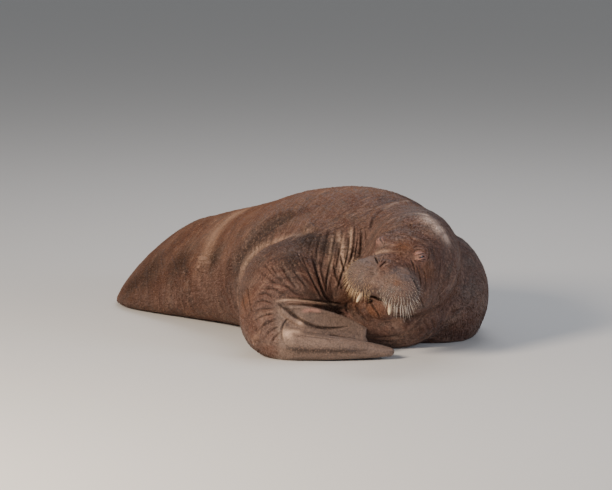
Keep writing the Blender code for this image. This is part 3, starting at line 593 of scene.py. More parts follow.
# Lids: the skin is drawn over each eyeball and opens in a narrow slit between two soft folds.
lids = {"over": 0.0026, "behind": 0.0024, "reach": 0.045, "back": -0.004, "dome": (0.010, 0.024),
        "slitLong": 0.0122, "slitHigh": 0.0032, "slitUp": 0.001, "slitBend": 0.0016, "slitEdge": (0.55, 1.15),
        "foldAt": 0.0062, "foldStep": 0.0072, "foldHeight": 0.0024, "foldsFrom": (0.002, 0.007),
        "foldsTo": 0.012, "foldsFade": 0.007, "rimAt": 1.25, "rimWide": 0.35, "rimHeight": 0.0012,
        "ballEdge": 0.0115, "pinkWide": 0.020}
pink = np.zeros(len(base))
for spot in eyePlaces:
    turnBack = np.array(spot.inverted())
    e = shaped @ turnBack[:3, :3].T + turnBack[:3, 3]
    side = np.hypot(e[:, 0], e[:, 1])
    near = np.nonzero((e[:, 2] > lids["back"]) & (side < lids["reach"]))[0]
    e, side = e[near], side[near]
    # the lid lies over the ball
    cover = eye["radius"] + lids["over"]
    dome = 1 - step(*lids["dome"], side)
    tall = np.sqrt(np.maximum(cover ** 2 - np.minimum(side, cover) ** 2, 0))
    raised = np.maximum(e[:, 2], tall * dome + e[:, 2] * (1 - dome))
    # folds above and below the slit
    high = e[:, 1] - lids["slitUp"] + lids["slitBend"] * (e[:, 0] / lids["slitLong"]) ** 2
    ripple = hump(np.maximum(side - lids["foldsTo"], 0) / lids["foldsFade"])
    below, above = step(*lids["foldsFrom"], -high), step(*lids["foldsFrom"], high)
    wave = np.cos(2 * math.pi * (np.abs(high) - lids["foldAt"]) / lids["foldStep"])
    raised += lids["foldHeight"] * wave * ripple * (below * 0.9 + above * 0.7)
    # the slit, its rim and the ball behind it
    opening = (e[:, 0] / lids["slitLong"]) ** 2 + (high / lids["slitHigh"]) ** 2
    gap = 1 - step(*lids["slitEdge"], opening)
    rim = hump((np.sqrt(opening) - lids["rimAt"]) / lids["rimWide"]) * (e[:, 2] > 0)
    raised += lids["rimHeight"] * rim
    sunk = (eye["radius"] - lids["behind"]) ** 2 - np.minimum(side, lids["ballEdge"]) ** 2
    e[:, 2] = raised * (1 - gap) + np.minimum(np.sqrt(np.maximum(sunk, 0)), raised) * gap
    turnOut = np.array(spot)
    shaped[near] = e @ turnOut[:3, :3].T + turnOut[:3, 3]
    # painted shade in the slit and in the hollows between the lid folds
    dark = np.maximum(gap, 0.95 * (1 - wave) / 2 * ripple * (below + above))
    crease[near] = np.maximum(crease[near], dark)
    flush = hump(side / lids["pinkWide"]) * (0.35 + 0.65 * np.maximum(rim, wave * ripple))
    pink[near] = np.maximum(pink[near], flush)
putPoints(skin.data, shaped)
smooth(skin)
skinTree = treeOf(skin)
print("stage: mouth, nostrils and lids")


def give(mesh, name, values):
    made = mesh.attributes.get(name) or mesh.attributes.new(name, "FLOAT", "POINT")
    made.data.foreach_set("value", np.asarray(values, np.float32))


# Where the hide is redder, paler, greyer, set by the body's own parts, with painted shade at the bottoms of
# folds and painted highlights on the tops of ridges.
marks = {"crease": np.clip(crease, 0, 1), "crest": np.clip(crest, 0, 1), "muzzle": muzzle,
         "flipper": flipper, "pink": np.clip(pink, 0, 1)}
# Spots in the photograph's pixels, each with its width in metres: the pale patch on the crown, brightened
# further as a painted highlight, painted orange sunlight on the throat, chest, face and elbow fold, a painted
# highlight on the hand's lit edge, painted grey shade on the far side of the head, on the hand's leaf, among
# the neck folds and beside the crown's patch, and painted shade in the hollows of the neck, shoulder and flank,
# with darker hide on the hips.
washes = {
    "worn": [(424, 214, 0.022), (430, 220, 0.034), (438, 228, 0.03), (446, 238, 0.022)],
    "warm": [(244, 302, 0.04), (372, 312, 0.05), (350, 300, 0.04), (404, 246, 0.035), (428, 272, 0.04),
             (396, 283, 0.014)],
    "lit": [(287, 333, 0.02), (300, 322, 0.012)],
    "dusk": [(414, 214, 0.018), (411, 232, 0.014), (312, 312, 0.034), (294, 305, 0.016), (352, 266, 0.03),
             (362, 262, 0.026), (476, 288, 0.08), (468, 262, 0.06)],
    "deep": [(262, 238, 0.05), (246, 258, 0.045), (308, 240, 0.06), (292, 262, 0.045), (150, 272, 0.085),
             (214, 257, 0.045), (180, 262, 0.07), (326, 246, 0.04), (134, 284, 0.06)],
}
# The same along lines: half width in millimetres, how strong, and the line in the pixels.
# The lines paint shade in the shoulder's valley and under the hand, highlights on the ridges of flank and
# shoulder, between the neck folds, along the hand's edges and the crown's rim, and the pink of the hand and the
# lids.
bands = {
    "deep": [(46, 1, "298,211 281,221 263,232 248,247 239,262 233,282"),
             (11, 1, "284,347 300,350 330,351 368,351"), (7, 1, "278,304 288,309 298,318 312,326 330,328"),
             (16, 0.7, "330,306 345,309 360,312")],
    "lit": [(42, 0.34, "262,203 246,209 233,216 218,230 209,248 202,264"),
            (12, 0.42, "314,229 302,234 290,236 274,242 260,248 247,262 240,280"),
            (12, 1, "339,234 342,246 343,260 342,274"), (7, 0.8, "333,236 331,252 330,268"),
            (7, 0.8, "351,228 350,244 347,256"), (12, 1, "285,334 292,331 301,332"),
            (4, 0.9, "277,301 292,299.5 315,302 337,305"), (5, 0.7, "384,209 396,203 410,200"),
            (6, 0.45, "375,254 382,251 391,250"), (5, 0.6, "354,256 348,268 347,279")],
    "pink": [(7, 0.9, "303,311 312,310 320,311"), (8, 0.8, "343,311 350,316"),
             (5, 0.9, "414.5,255 418,252.2 423,253"), (4, 0.8, "416,258 420,259.5 424,258")],
}
for wash, places in washes.items():
    marks[wash] = np.zeros(len(base))
    for px, py, wide in places:
        start, way = sightLine(px, py)
        hit = smoothTree.ray_cast(start, way)[0]
        if hit is not None:
            far = np.linalg.norm(base - np.array(hit), axis=1)
            marks[wash] = np.maximum(marks[wash], hump(far / wide))
for mark, lines in bands.items():
    for half, share, line in lines:
        close, far, along = lineDistance(base, stroke(line), half / 250)
        taper = step(-0.1, 0.15, along) * (1 - step(0.85, 1.1, along))
        marks[mark][close] = np.maximum(marks[mark][close], share * hump(far / (half / 1000)) * taper)
for name, values in marks.items():
    give(skin.data, name, values)


def giveRun(mesh, values):
    made = mesh.attributes.new("run", "FLOAT_VECTOR", "POINT")
    made.data.foreach_set("vector", values.astype(np.float32).ravel())


# Streaks run round the body: their length, the step from one to the next, and how they waver.
streaks = {"long": 0.070, "step": 0.0105, "waver": 0.05}
run = local / streaks["long"]
run[:, 0] += bodyAt / streaks["step"] + (grain(local / streaks["waver"], 41) - 0.5) * 1.5
giveRun(skin.data, run)

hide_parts(*fleshNodes)
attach(skin, "root")


# Materials
def linear(code, share=1.0):
    # an sRGB hex colour as the linear values that a shader takes
    parts = [int(code[k:k + 2], 16) / 255 for k in (1, 3, 5)]
    return (*(share * (c / 12.92 if c <= 0.04045 else ((c + 0.055) / 1.055) ** 2.4) for c in parts), 1)


def newMaterial(name):
    made = bpy.data.materials.new(name)
    made.use_nodes = True
    return made, made.node_tree.nodes["Principled BSDF"]


def add(material, kind, links=None, **settings):
    # one node with its settings, its values and what feeds its sockets
    made = material.node_tree.nodes.new(kind)
    for key, value in settings.items():
        setattr(made, key, value)
    for socket, value in (links or {}).items():
        if hasattr(value, "is_output"):
            material.node_tree.links.new(value, made.inputs[socket])
        else:
            made.inputs[socket].default_value = value
    return made


def join(material, source, shader, socket):
    material.node_tree.links.new(source, shader.inputs[socket])


def blend(material, share, one, other, how="MIX"):
    # mixes two colours, each a hex code or a socket
    sockets = {"Factor": share, "A": one, "B": other}
    made = material.node_tree.nodes.new("ShaderNodeMix")
    made.data_type = "RGBA"
    made.blend_type = how
    for socket, spot in (("Factor", 0), ("A", 6), ("B", 7)):
        value = sockets[socket]
        if isinstance(value, str):
            value = linear(value)
        if hasattr(value, "is_output"):
            material.node_tree.links.new(value, made.inputs[spot])
        else:
            made.inputs[spot].default_value = value
    return made.outputs[2]


def ranged(material, source, low, high, to=(0, 1)):
    return add(material, "ShaderNodeMapRange",
               {"Value": source, "From Min": low, "From Max": high, "To Min": to[0], "To Max": to[1]},
               interpolation_type="SMOOTHSTEP").outputs[0]


def times(material, one, other, how="MULTIPLY"):
    return add(material, "ShaderNodeMath", {0: one, 1: other}, operation=how).outputs[0]


# Besides the hide's own colours, some of these paint light and shade through the marks: orange sunlight,
# highlights on ridges and lit edges and over the crown's pale patch, and shade in folds, hollows and on the far
# side of the head.
hide = {
    "base": "#694c40", "red": "#5b3a2d", "pale": "#a3806a", "dark": "#2a1912", "grey": "#5c5049",
    "muzzle": "#6b554a", "muzzleGrey": "#584c48", "pink": "#b98474", "flipper": "#7a675b", "warm": "#74431f",
    "deep": "#26170f", "lit": "#d3b096", "worn": "#e6c6b0",
    "patch": 8.0, "blot": 14, "muzzleBlot": 22, "plate": 150.0, "pore": 190.0, "hair": 260.0, "rough": 0.52,
}
# how strongly each mark tints the hide, one over the other, and the colour where it has another name. Several
# marks paint light and shade: orange sunlight, highlights on ridges, along lit edges and over the crown's pale
# patch, and shade in folds, hollows and on the far side of the head; the mark for hollows also darkens the
# hips' hide.
tints = {"muzzle": 0.75, "flipper": 0.7, "deep": 0.80, "warm": 0.55, "dusk": (0.45, "grey"), "lit": 0.80,
         "worn": 0.9, "pink": 0.75, "crest": (0.35, "pale"), "crease": (0.85, "dark")}


def walrusHide(name, hairs):
    # walrus hide: thick, cracked, thinly haired skin, dull with a faint oily gleam, with painted highlights on
    # its ridges and painted shade in its folds and hollows
    material, shader = newMaterial(name)
    spot = add(material, "ShaderNodeTexCoord").outputs["Object"]
    run = add(material, "ShaderNodeAttribute", attribute_name="run").outputs["Vector"]

    def noise(scale, detail=3, seed=0.0, distortion=0.0, on=spot):
        moved = add(material, "ShaderNodeVectorMath", {0: on, 1: (seed, seed * 1.7, -seed)}).outputs[0]
        return add(material, "ShaderNodeTexNoise",
                   {"Vector": moved, "Scale": scale, "Detail": detail, "Distortion": distortion}).outputs[0]

    def washed(colour, source, low, high, to, tint):
        return blend(material, ranged(material, source, low, high, to), colour, hide[tint])

    patch = noise(hide["patch"], 4, 1.0, 0.4)  # broad patches about 120 mm across
    streak = noise(1.0, 4, 2.0, 0.6, run)  # streaks 10 mm apart that run round the body
    fine = noise(3.1, 3, 3.0, 0.3, run)  # the lie of the hairs, drawn 3 mm apart so that it shows
    fleck = noise(hide["pore"], 2, 4.0)
    colour = blend(material, ranged(material, patch, 0.36, 0.64), hide["base"], hide["red"])
    colour = washed(colour, noise(hide["blot"], 3, 6.0), 0.48, 0.72, (0, 0.5), "grey")
    colour = washed(colour, streak, 0.50, 0.78, (0, 0.55), "pale")
    colour = washed(colour, streak, 0.22, 0.48, (0.62, 0), "dark")
    colour = washed(colour, fine, 0.25, 0.46, (0.45, 0), "dark")
    blots = ranged(material, noise(hide["muzzleBlot"], 2, 7.0), 0.4, 0.6)
    muzzleTint = blend(material, blots, hide["muzzle"], hide["muzzleGrey"])
    for mark, tint in tints.items():
        share, name = tint if isinstance(tint, tuple) else (tint, mark)
        read = add(material, "ShaderNodeAttribute", attribute_name=mark).outputs["Fac"]
        other = muzzleTint if mark == "muzzle" else hide[name]
        colour = blend(material, times(material, read, share), colour, other)
    colour = washed(colour, fleck, 0.30, 0.50, (0.42, 0), "dark")
    colour = washed(colour, fleck, 0.52, 0.72, (0, 0.30), "pale")
    if hairs:
        colour = blend(material, 0.06, colour, hide["pale"])
    join(material, colour, shader, "Base Color")
    shader.inputs["Roughness"].default_value = hide["rough"]
    shader.inputs["IOR"].default_value = 1.45
    shader.inputs["Specular IOR Level"].default_value = 0.18 if hairs else 0.42
    shader.inputs["Sheen Weight"].default_value = 0.04
    shader.inputs["Sheen Roughness"].default_value = 0.5
    if not hairs:
        plates = add(material, "ShaderNodeTexVoronoi", {"Vector": spot, "Scale": hide["plate"]},
                     feature="DISTANCE_TO_EDGE").outputs[0]
        height = ranged(material, plates, 0.0, 0.16)
        height = times(material, times(material, height, 0.14), times(material, streak, 1.6), "ADD")
        height = times(material, height, times(material, fine, 1.2), "ADD")
        height = times(material, height, times(material, noise(hide["hair"], 3, 9.0, 1.0), 0.6), "ADD")
        bump = add(material, "ShaderNodeBump", {"Height": height, "Strength": 0.85, "Distance": 0.0030})
        join(material, bump.outputs[0], shader, "Normal")
    return material


skin.data.materials.clear()
skin.data.materials.append(walrusHide("walrus hide, cracked and thinly haired", False))

# Eyeballs: dark and wet, with a slightly raised cornea.
eyeballLook = {"rings": 24, "spokes": 40, "cornea": 0.0006, "corneaWide": 0.0075}


def eyeball(name, spot):
    bm = bmesh.new()
    bmesh.ops.create_uvsphere(bm, u_segments=eyeballLook["spokes"], v_segments=eyeballLook["rings"],
                              radius=eye["radius"])
    for v in bm.verts:
        side = math.hypot(v.co.x, v.co.y)
        if v.co.z > 0:
            v.co.z += eyeballLook["cornea"] * math.exp(-(side / eyeballLook["corneaWide"]) ** 4)
    sides = [math.hypot(v.co.x, v.co.y) / eye["radius"] if v.co.z > 0 else 2.0 for v in bm.verts]
    bmesh.ops.transform(bm, matrix=spot, verts=bm.verts)
    made = fromBmesh(name, bm)
    give(made.data, "fromPupil", sides)
    smooth(made)
    return made


def wetEye():
    # an eyeball: brown iris so dark that it reads black, under a wet, clear cornea
    material, shader = newMaterial("wet dark eyeball")
    far = add(material, "ShaderNodeAttribute", attribute_name="fromPupil").outputs["Fac"]
    streak = add(material, "ShaderNodeTexNoise", {"Scale": 900.0, "Detail": 2.0}).outputs[0]
    iris = blend(material, streak, "#2a1710", "#3c2418")
    colour = blend(material, ranged(material, far, 0.22, 0.30), "#050303", iris)
    colour = blend(material, ranged(material, far, 0.55, 0.72), colour, "#5c3a30")
    join(material, colour, shader, "Base Color")
    shader.inputs["Roughness"].default_value = 0.12
    shader.inputs["IOR"].default_value = 1.376
    shader.inputs["Coat Weight"].default_value = 1.0
    shader.inputs["Coat Roughness"].default_value = 0.03
    return material


eyeMaterial = wetEye()
for name, spot in zip(("eye_left", "eye_right"), eyePlaces):
    made = eyeball("eyeball_" + name[4:], spot)
    made.data.materials.append(eyeMaterial)
    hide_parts(name)
    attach(made, "root")
print("stage: eyeballs")


def tube(bm, path, radii, sides):
    # a tapered tube along a path, ending in a point or a small cap
    rings = []
    one = None
    for k, at in enumerate(path):
        ahead, behind = path[min(k + 1, len(path) - 1)], path[max(k - 1, 0)]
        way = (ahead - behind).normalized()
        one = (one - way * one.dot(way)).normalized() if k else way.orthogonal().normalized()
        other = way.cross(one)
        turns = [2 * math.pi * i / sides for i in range(sides)]
        rings.append([bm.verts.new(at + (one * math.cos(t) + other * math.sin(t)) * radii[k]) for t in turns])
    for low, high in zip(rings, rings[1:]):
        for i in range(sides):
            j = (i + 1) % sides
            bm.faces.new((low[i], low[j], high[j], high[i]))
    bm.faces.new(rings[0][::-1])
    bm.faces.new(rings[-1])


# Tusks: short first tusks, a little worn and stained at the root.
tuskMake = {"root": (0.023, 0.050, 0.033), "way": (-0.28, 0, -1), "splay": 0.22, "length": 0.058,
            "radius": 0.0064, "taper": 0.16, "roundFrom": 0.62, "roundOver": 0.39, "sides": 20, "steps": 16}


def tusk(name, side):
    root = headFrame @ Vector((tuskMake["root"][0], tuskMake["root"][1] * side, tuskMake["root"][2]))
    down = (Vector(tuskMake["way"]) + headTurn @ Vector((0, tuskMake["splay"] * side, 0))).normalized()
    path, radii = [], []
    for k in range(tuskMake["steps"] + 1):
        t = k / tuskMake["steps"]
        path.append(root + down * tuskMake["length"] * t)
        rounded = max(0, (t - tuskMake["roundFrom"]) / tuskMake["roundOver"]) ** 2.2
        radii.append(tuskMake["radius"] * (1 - tuskMake["taper"] * t) * math.sqrt(max(1 - rounded, 0.02)))
    bm = bmesh.new()
    tube(bm, path, radii, tuskMake["sides"])
    bmesh.ops.recalc_face_normals(bm, faces=bm.faces)
    made = fromBmesh(name + "_ivory", bm)
    smooth(made)
    low = min(v.co.z for v in made.data.vertices)
    give(made.data, "fromTip", [v.co.z - low for v in made.data.vertices])
    return made


def ivory():
    # tusk ivory: dense and creamy, its cement coat cracked lengthways and stained brown at the gum
    material, shader = newMaterial("tusk ivory, stained at the gum")
    spot = add(material, "ShaderNodeTexCoord").outputs["Object"]
    tip = add(material, "ShaderNodeAttribute", attribute_name="fromTip").outputs["Fac"]
    stretched = add(material, "ShaderNodeMapping", {"Vector": spot, "Scale": (1, 1, 0.12)}).outputs[0]
    lines = add(material, "ShaderNodeTexNoise", {"Vector": stretched, "Scale": 700.0, "Detail": 3.0}).outputs[0]
    colour = blend(material, ranged(material, lines, 0.45, 0.7), "#d9c3a0", "#a9855c")
    colour = blend(material, ranged(material, tip, 0.012, 0.040, (0, 0.75)), colour, "#80583a")
    join(material, colour, shader, "Base Color")
    bump = add(material, "ShaderNodeBump", {"Height": lines, "Strength": 0.5, "Distance": 0.0006})
    join(material, bump.outputs[0], shader, "Normal")
    shader.inputs["Roughness"].default_value = 0.38
    shader.inputs["IOR"].default_value = 1.54
    shader.inputs["Subsurface Weight"].default_value = 0.1
    shader.inputs["Subsurface Scale"].default_value = 0.003
    return material


ivoryMaterial = ivory()
for name, side in (("tusk_left", 1), ("tusk_right", -1)):
    made = tusk(name, side)
    made.data.materials.append(ivoryMaterial)
    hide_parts(name)
    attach(made, "root")
print("stage: tusks")

# Whiskers: stiff bristles in staggered rows over both pads, longest low down at the outside.
bristle = {"seed": 11, "rows": 13, "columns": 17, "fewest": 4, "lifts": (-66, 50), "swings": (-46, 108),
           "short": 0.006, "long": 0.034, "radius": 0.00062, "sink": 0.004, "sides": 5, "steps": 5,
           "reach": 0.15, "out": 0.35, "droop": (-0.06, -0.30)}


def oneWhisker(bm, side, share, high, spot, normal, looks):
    # one bristle out of the pad, longest and most drooping where the pad faces down
    size, bend, _, spread = looks
    low = 0.5 - 0.5 * math.sin(high)
    length = (bristle["short"] + bristle["long"] * low ** 1.5 * (0.45 + 0.55 * min(share, 1))) * size
    out = headTurn @ Vector((bristle["out"], bristle["out"] * side * share, 0))
    way = (normal * 0.55 + out * 0.4 + Vector((0, 0, -0.75 * low)) + Vector(spread)).normalized()
    inward, down = bristle["droop"]
    droop = (headTurn @ Vector((inward, 0, 0)) + Vector((0, 0, down))) * low * bend
    start = spot - way * bristle["sink"]
    path, radii = [], []
    for i in range(bristle["steps"] + 1):
        t = i / bristle["steps"]
        path.append(start + way * (length + bristle["sink"]) * t + droop * length * t * t)
        radii.append(bristle["radius"] * (0.8 + 0.4 * low) * (1 - 0.82 * t))
    tube(bm, path, radii, bristle["sides"])


def whiskers():
    draw = np.random.default_rng(bristle["seed"])
    bm = bmesh.new()
    tintAndShade = []
    roots = []
    (f, l, u), _ = head["pairs"][0]
    (lowLift, highLift), (swingIn, swingOut) = bristle["lifts"], bristle["swings"]
    for side, row in itertools.product((-1, 1), range(bristle["rows"])):
        centre = headFrame @ Vector((f, l * side, u))
        rowLift = lowLift + (highLift - lowLift) * row / (bristle["rows"] - 1)
        count = max(bristle["fewest"], round(bristle["columns"] * math.cos(math.radians(rowLift))))
        for k in range(count):
            share = (k + 0.5 * (row % 2) + draw.uniform(-0.22, 0.22)) / count
            swing = math.radians(swingIn + (swingOut - swingIn) * share)
            high = math.radians(rowLift + draw.uniform(-2.5, 2.5))
            flat = math.cos(high)
            away = headTurn @ Vector((flat * math.cos(swing), flat * math.sin(swing) * side, math.sin(high)))
            spot, normal, _, _ = skinTree.ray_cast(centre + away * bristle["reach"], -away)
            looks = (draw.uniform(0.75, 1.25), draw.uniform(0.7, 1.3), draw.uniform(-0.2, 0.2),
                     draw.normal(0, 0.07, 3))  # size, bend, tint and spread
            if spot is None:
                continue
            before = len(bm.verts)
            oneWhisker(bm, side, share, high, spot, normal, looks)
            # whiskers on the side away from the light are painted greyer as shade, over a random straw to
            # grey-white tint
            tintAndShade += [np.clip(0.5 + 0.3 * side + looks[2], 0, 1)] * (len(bm.verts) - before)
            roots.append(spot)
    bmesh.ops.recalc_face_normals(bm, faces=bm.faces)
    made = fromBmesh("whiskers", bm)
    give(made.data, "pale", tintAndShade)
    smooth(made)
    return made, roots


def bristleHorn():
    # vibrissae: solid horn, straw yellow going to grey white, and smooth
    material, shader = newMaterial("whisker horn, straw to grey white")
    pale = add(material, "ShaderNodeAttribute", attribute_name="pale").outputs["Fac"]
    colour = blend(material, pale, "#c9a474", "#b4aca2")
    join(material, colour, shader, "Base Color")
    shader.inputs["Roughness"].default_value = 0.42
    shader.inputs["IOR"].default_value = 1.55
    return material


whiskerPiece, whiskerRoots = whiskers()
whiskerPiece.data.materials.append(bristleHorn())
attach(whiskerPiece, "root")

# Each whisker stands in a pit, pressed in and given painted shade, so the pads are dotted in rows.
pits = {"reach": 0.0030, "depth": 0.0007, "dark": 0.6, "pad": 0.3}
padPoints = np.nonzero(muzzle > pits["pad"])[0]
rootTree = KDTree(len(whiskerRoots))
for k, spot in enumerate(whiskerRoots):
    rootTree.insert(spot, k)
rootTree.balance()
pit = np.zeros(len(base))
for k in padPoints:
    pit[k] = hump(rootTree.find(shaped[k])[2] / pits["reach"])
shaped -= outward * (pits["depth"] * pit)[:, None]
putPoints(skin.data, shaped)
marks["crease"] = np.maximum(marks["crease"], pits["dark"] * pit)
give(skin.data, "crease", marks["crease"])
print("stage:", len(whiskerRoots), "whiskers")

# Claws: small nails that lie on the back of each digit, largest on the three middle toes behind.
hindSizes = [(0.010, 0.0026), (0.021, 0.0038), (0.023, 0.0040), (0.021, 0.0038), (0.010, 0.0026)]
hindLengths = (0.355, 0.310, 0.290, 0.310, 0.355)
claws = {
    "hands": [{"at": (0.495, 0.675, 0.026), "turn": 124, "spread": -13, "root": -0.040,
               "lengths": (0.20, 0.225, 0.245, 0.265, 0.275), "size": [(0.011, 0.0028)] * 5},
              {"at": (-0.446, 1.475, 0.021), "turn": 94, "spread": 8, "root": 0.034,
               "lengths": hindLengths, "size": hindSizes},
              {"at": (-0.232, 1.475, 0.021), "turn": 78, "spread": 11, "root": 0.034,
               "lengths": hindLengths, "size": hindSizes}],
    "back": 0.87, "sides": 8, "steps": 6, "above": 0.08, "rooted": 0.35, "arch": 2.2, "sunk": 0.55,
}


def clawOn(bm, spot, along, size):
    # one nail: rooted in the skin, arched, and worn to a blunt point
    length, radius = size
    hit, normal, _, _ = skinTree.ray_cast(spot + Vector((0, 0, claws["above"])), Vector((0, 0, -1)))
    if hit is None:
        return
    flat = (along - normal * along.dot(normal)).normalized()
    path, radii = [], []
    for k in range(claws["steps"] + 1):
        t = k / claws["steps"]
        forward = length * (t * (1 + claws["rooted"]) - claws["rooted"])
        raised = radius * (claws["arch"] * t * (1.25 - t) - claws["sunk"])
        path.append(hit + flat * forward + normal * raised)
        radii.append(radius * (1 - 0.72 * t ** 1.6))
    tube(bm, path, radii, claws["sides"])


bm = bmesh.new()
for hand in claws["hands"]:
    frameOf = Matrix.Rotation(math.radians(hand["turn"]), 4, "Z")
    frameOf.translation = Vector(hand["at"]) + shift
    last = len(hand["lengths"]) - 1
    for k, length in enumerate(hand["lengths"]):
        side = 1 - 2 * k / last
        angle = math.radians(hand["spread"] * side)
        way = Vector((math.cos(angle), math.sin(angle), 0))
        spot = frameOf @ (Vector((0, hand["root"] * side, 0)) + way * length * claws["back"])
        clawOn(bm, spot, (frameOf.to_3x3() @ way).normalized(), hand["size"][k])
bmesh.ops.recalc_face_normals(bm, faces=bm.faces)
clawPiece = fromBmesh("claws", bm)
smooth(clawPiece)


def clawHorn():
    # claw horn: hard keratin, grey brown and ridged lengthways, polished by sand and rock
    material, shader = newMaterial("claw horn, worn grey brown")
    spot = add(material, "ShaderNodeTexCoord").outputs["Object"]
    bands = add(material, "ShaderNodeTexNoise", {"Vector": spot, "Scale": 420.0, "Detail": 3.0}).outputs[0]
    colour = blend(material, ranged(material, bands, 0.35, 0.65), "#4a3b31", "#8d7a66")
    join(material, colour, shader, "Base Color")
    bump = add(material, "ShaderNodeBump", {"Height": bands, "Strength": 0.4, "Distance": 0.0004})
    join(material, bump.outputs[0], shader, "Normal")
    shader.inputs["Roughness"].default_value = 0.4
    shader.inputs["IOR"].default_value = 1.55
    return material


clawPiece.data.materials.append(clawHorn())
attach(clawPiece, "root")
print("stage: claws")

# Coat: short flat hair. Most of it is in the skin's bump; these tufts break the outline on every side.
coats = {
    "coat_hips": {"count": 48000, "seed": 51, "long": 0.0115, "wide": 0.00075, "lift": 0.075},
    "coat_back": {"count": 48000, "seed": 54, "long": 0.0110, "wide": 0.00075, "lift": 0.075},
    "coat_chest": {"count": 48000, "seed": 52, "long": 0.0095, "wide": 0.00065, "lift": 0.075},
    "coat_head": {"count": 40000, "seed": 55, "long": 0.0062, "wide": 0.00045, "lift": 0.075},
    "coat_flippers": {"count": 18000, "seed": 53, "long": 0.0045, "wide": 0.0005, "lift": 0.07},
}
tuft = {"scatter": 0.16, "long": (0.65, 1.35), "wide": (0.7, 1.3), "rise": (0.5, 1.6), "sink": 0.0010,
        "thick": 0.0012, "clear": 0.0003, "faces": [(0, 1, 3), (1, 2, 3), (2, 0, 3), (0, 2, 1)]}
comb = {"down": 0.35, "headBack": -0.75, "headDown": -0.45, "head": (-0.26, -0.14), "floor": (0.002, 0.012),
        "front": (-0.10, 0.05), "middle": (-0.06, 0.06)}
unwrapMake = {"voxel": 0.022, "angle": 66, "margin": 0.004, "patch": 0.003, "edge": 0.001,
              "corners": [(0, 0), (1, 0), (0.5, 0.3), (0.5, 1)]}


def unwrapped():
    # a coarse copy of the skin, flattened, so that each tuft knows its place on the skin's own shape
    made = newObject("unwrap_form", skin.data.copy())
    kept(made, "REMESH", mode="VOXEL", voxel_size=unwrapMake["voxel"], adaptivity=0)
    bpy.context.view_layer.objects.active = made
    for other in bpy.context.selected_objects:
        other.select_set(False)
    made.select_set(True)
    bpy.ops.object.mode_set(mode="EDIT")
    bpy.ops.mesh.select_all(action="SELECT")
    bpy.ops.uv.smart_project(angle_limit=math.radians(unwrapMake["angle"]), island_margin=unwrapMake["margin"])
    bpy.ops.object.mode_set(mode="OBJECT")
    mesh = made.data
    mesh.calc_loop_triangles()
    layer = mesh.uv_layers.active
    flat = np.empty(len(mesh.loops) * 2, np.float32)
    layer.uv.foreach_get("vector", flat)
    flat = flat.reshape(-1, 2)
    corners = np.array([t.vertices[:] for t in mesh.loop_triangles])
    loops = np.array([t.loops[:] for t in mesh.loop_triangles])
    spots = pointsOf(mesh)
    tree = BVHTree.FromPolygons(spots.tolist(), corners.tolist())
    bpy.data.objects.remove(made)
    return tree, spots, corners, flat[loops]


def shareIn(triangle, spot):
    # how much of each corner a spot in a triangle has
    a, b, c = triangle
    one, two, at = b - a, c - a, spot - a
    d00, d01, d11 = one @ one, one @ two, two @ two
    d20, d21 = at @ one, at @ two
    under = max(d00 * d11 - d01 * d01, 1e-18)
    v, w = (d11 * d20 - d01 * d21) / under, (d00 * d21 - d01 * d20) / under
    return np.clip((1 - v - w, v, w), 0, 1)


def coatPiece(name, make, weight, lie, unwrap):
    mesh = skin.data
    draw = np.random.default_rng(make["seed"])
    spots, normals = pointsOf(mesh), normalsOf(mesh)
    one, two, three = (spots[triangles[:, k]] for k in range(3))
    size = np.linalg.norm(np.cross(two - one, three - one), axis=1) * weight[triangles].mean(1)
    chosen = draw.choice(len(triangles), make["count"], p=size / size.sum())
    mix = draw.dirichlet((1, 1, 1), make["count"])

    def atRoots(values):
        shares = mix.reshape(mix.shape + (1,) * (values.ndim - 1))
        return (values[triangles[chosen]] * shares).sum(1)

    root, up, way = atRoots(spots), atRoots(normals), atRoots(lie)
    up /= np.linalg.norm(up, axis=1, keepdims=True)
    way = way + draw.normal(0, tuft["scatter"], way.shape)
    way -= up * (way * up).sum(1, keepdims=True)
    way /= np.linalg.norm(way, axis=1, keepdims=True)
    side = np.cross(way, up)
    length = make["long"] * draw.uniform(*tuft["long"], (len(root), 1))
    width = make["wide"] * draw.uniform(*tuft["wide"], (len(root), 1))
    rise = make["lift"] * draw.uniform(*tuft["rise"], (len(root), 1))
    low = root - up * tuft["sink"]
    tip = root + way * length + up * (length * rise + tuft["clear"])
    tip[:, 2] = np.maximum(tip[:, 2], tuft["clear"])  # no tip goes under the floor
    middle = low + up * (width * 0.5 + tuft["thick"])
    points = np.stack([low - side * width, low + side * width, middle, tip], 1)
    whole = np.array(tuft["faces"])[None] + 4 * np.arange(len(root))[:, None, None]
    made = fromLists(name, points.reshape(-1, 3), whole.reshape(-1, 3).tolist())
    tree, formSpots, formCorners, formPlaces = unwrap
    patchAt = np.empty((len(root), 2))
    for k, spot in enumerate(root):
        at, _, index, _ = tree.find_nearest(spot)
        share = shareIn(formSpots[formCorners[index]], np.array(at))
        patchAt[k] = share @ formPlaces[index] / share.sum()
    corner = np.array(unwrapMake["corners"]) - 0.5
    place = (patchAt[:, None] + corner[None] * unwrapMake["patch"]).reshape(-1, 2)
    place = np.clip(place, unwrapMake["edge"], 1 - unwrapMake["edge"])
    layer = made.data.uv_layers.new(name="OFBake")
    loopVertex = np.empty(len(made.data.loops), np.int32)
    made.data.loops.foreach_get("vertex_index", loopVertex)
    layer.uv.foreach_set("vector", place[loopVertex].astype(np.float32).ravel())
    # each tuft takes the skin's marks at its root, the painted light and shade among them
    for mark, values in marks.items():
        give(made.data, mark, np.repeat(atRoots(values), 4))
    giveRun(made.data, np.repeat(atRoots(run), 4, axis=0))
    made.data.materials.append(coatMaterial)
    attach(made, "root")
    return made


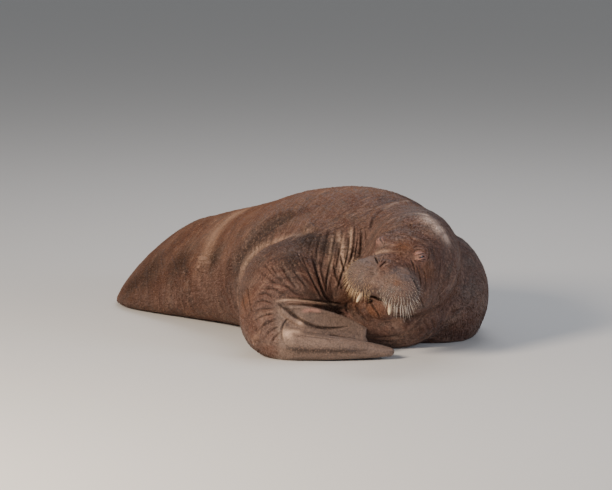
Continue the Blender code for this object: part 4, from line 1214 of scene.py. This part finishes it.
skin.data.calc_loop_triangles()
triangles = np.array([t.vertices[:] for t in skin.data.loop_triangles])
lie = -bodyWay.copy()  # hair lies backward and down
lie[:, 2] -= comb["down"]
face = step(*comb["head"], inFace[:, 0]) * headNear
headLie = np.array(headTurn @ Vector((comb["headBack"], 0, 0))) + (0, 0, comb["headDown"])
lie = lie * (1 - face[:, None]) + headLie * face[:, None]
offFloor = step(*comb["floor"], shaped[:, 2])
outside = np.clip(1 - crease, 0, 1)
front = step(*comb["front"], bodyAt - backTo)
middle = step(*comb["middle"], bodyAt - hipsTo)
furred = (1 - flipper) * (1 - np.clip(marks["pink"] * 1.5, 0, 1))
weights = {"coat_hips": furred * (1 - middle), "coat_back": furred * middle * (1 - front),
           "coat_chest": furred * front * (1 - face),
           "coat_head": furred * front * face * (1 - 0.8 * muzzle), "coat_flippers": flipper}
coatMaterial = walrusHide("walrus hair, short, flat and brown", True)
unwrap = unwrapped()
for name, make in coats.items():
    coatPiece(name, make, weights[name] * offFloor * (0.3 + 0.7 * outside) + 1e-9, lie, unwrap)
    print("stage:", name)

# Stage: a plain pale floor and soft studio light.
studio = {"floor": 14.0, "floorColour": "#d8d4ce", "drop": -0.0005, "air": "#dfe6f0", "airShare": 0.30}
lights = {
    "key_light": {"at": (-3.1, -3.3, 2.6), "to": (0.0, 0.3, 0.2), "size": (1.2, 1.2), "power": 395,
                  "colour": "#fff0de"},
    "fill_light": {"at": (4.2, -2.2, 1.8), "to": (0.2, 0.3, 0.2), "size": (3.0, 2.4), "power": 105,
                   "colour": "#dfeaff"},
    "top_light": {"at": (0.5, 3.0, 4.2), "to": (0.0, 0.7, 0.2), "size": (3.0, 2.0), "power": 75,
                  "colour": "#f2f5ff"},
}
bm = bmesh.new()
bmesh.ops.create_grid(bm, x_segments=1, y_segments=1, size=studio["floor"])
floor = fromBmesh("studio_floor", bm)
floor.location.z = studio["drop"]
floorMaterial, shader = newMaterial("pale studio paper")
shader.inputs["Base Color"].default_value = linear(studio["floorColour"])
shader.inputs["Roughness"].default_value = 0.9
floor.data.materials.append(floorMaterial)


for name, make in lights.items():
    light = bpy.data.lights.new(name, "AREA")
    light.shape = "RECTANGLE"
    light.size, light.size_y = make["size"]
    light.energy = make["power"]
    light.color = linear(make["colour"])[:3]
    made = bpy.data.objects.new(name, light)
    scene.collection.objects.link(made)
    made.location = Vector(make["at"]) + shift
    made.rotation_euler = (Vector(make["to"]) + shift - made.location).to_track_quat("-Z", "Y").to_euler()
world = bpy.data.worlds.new("studio")
scene.world = world
world.use_nodes = True
world.node_tree.nodes["Background"].inputs[0].default_value = linear(studio["air"])
world.node_tree.nodes["Background"].inputs[1].default_value = studio["airShare"]
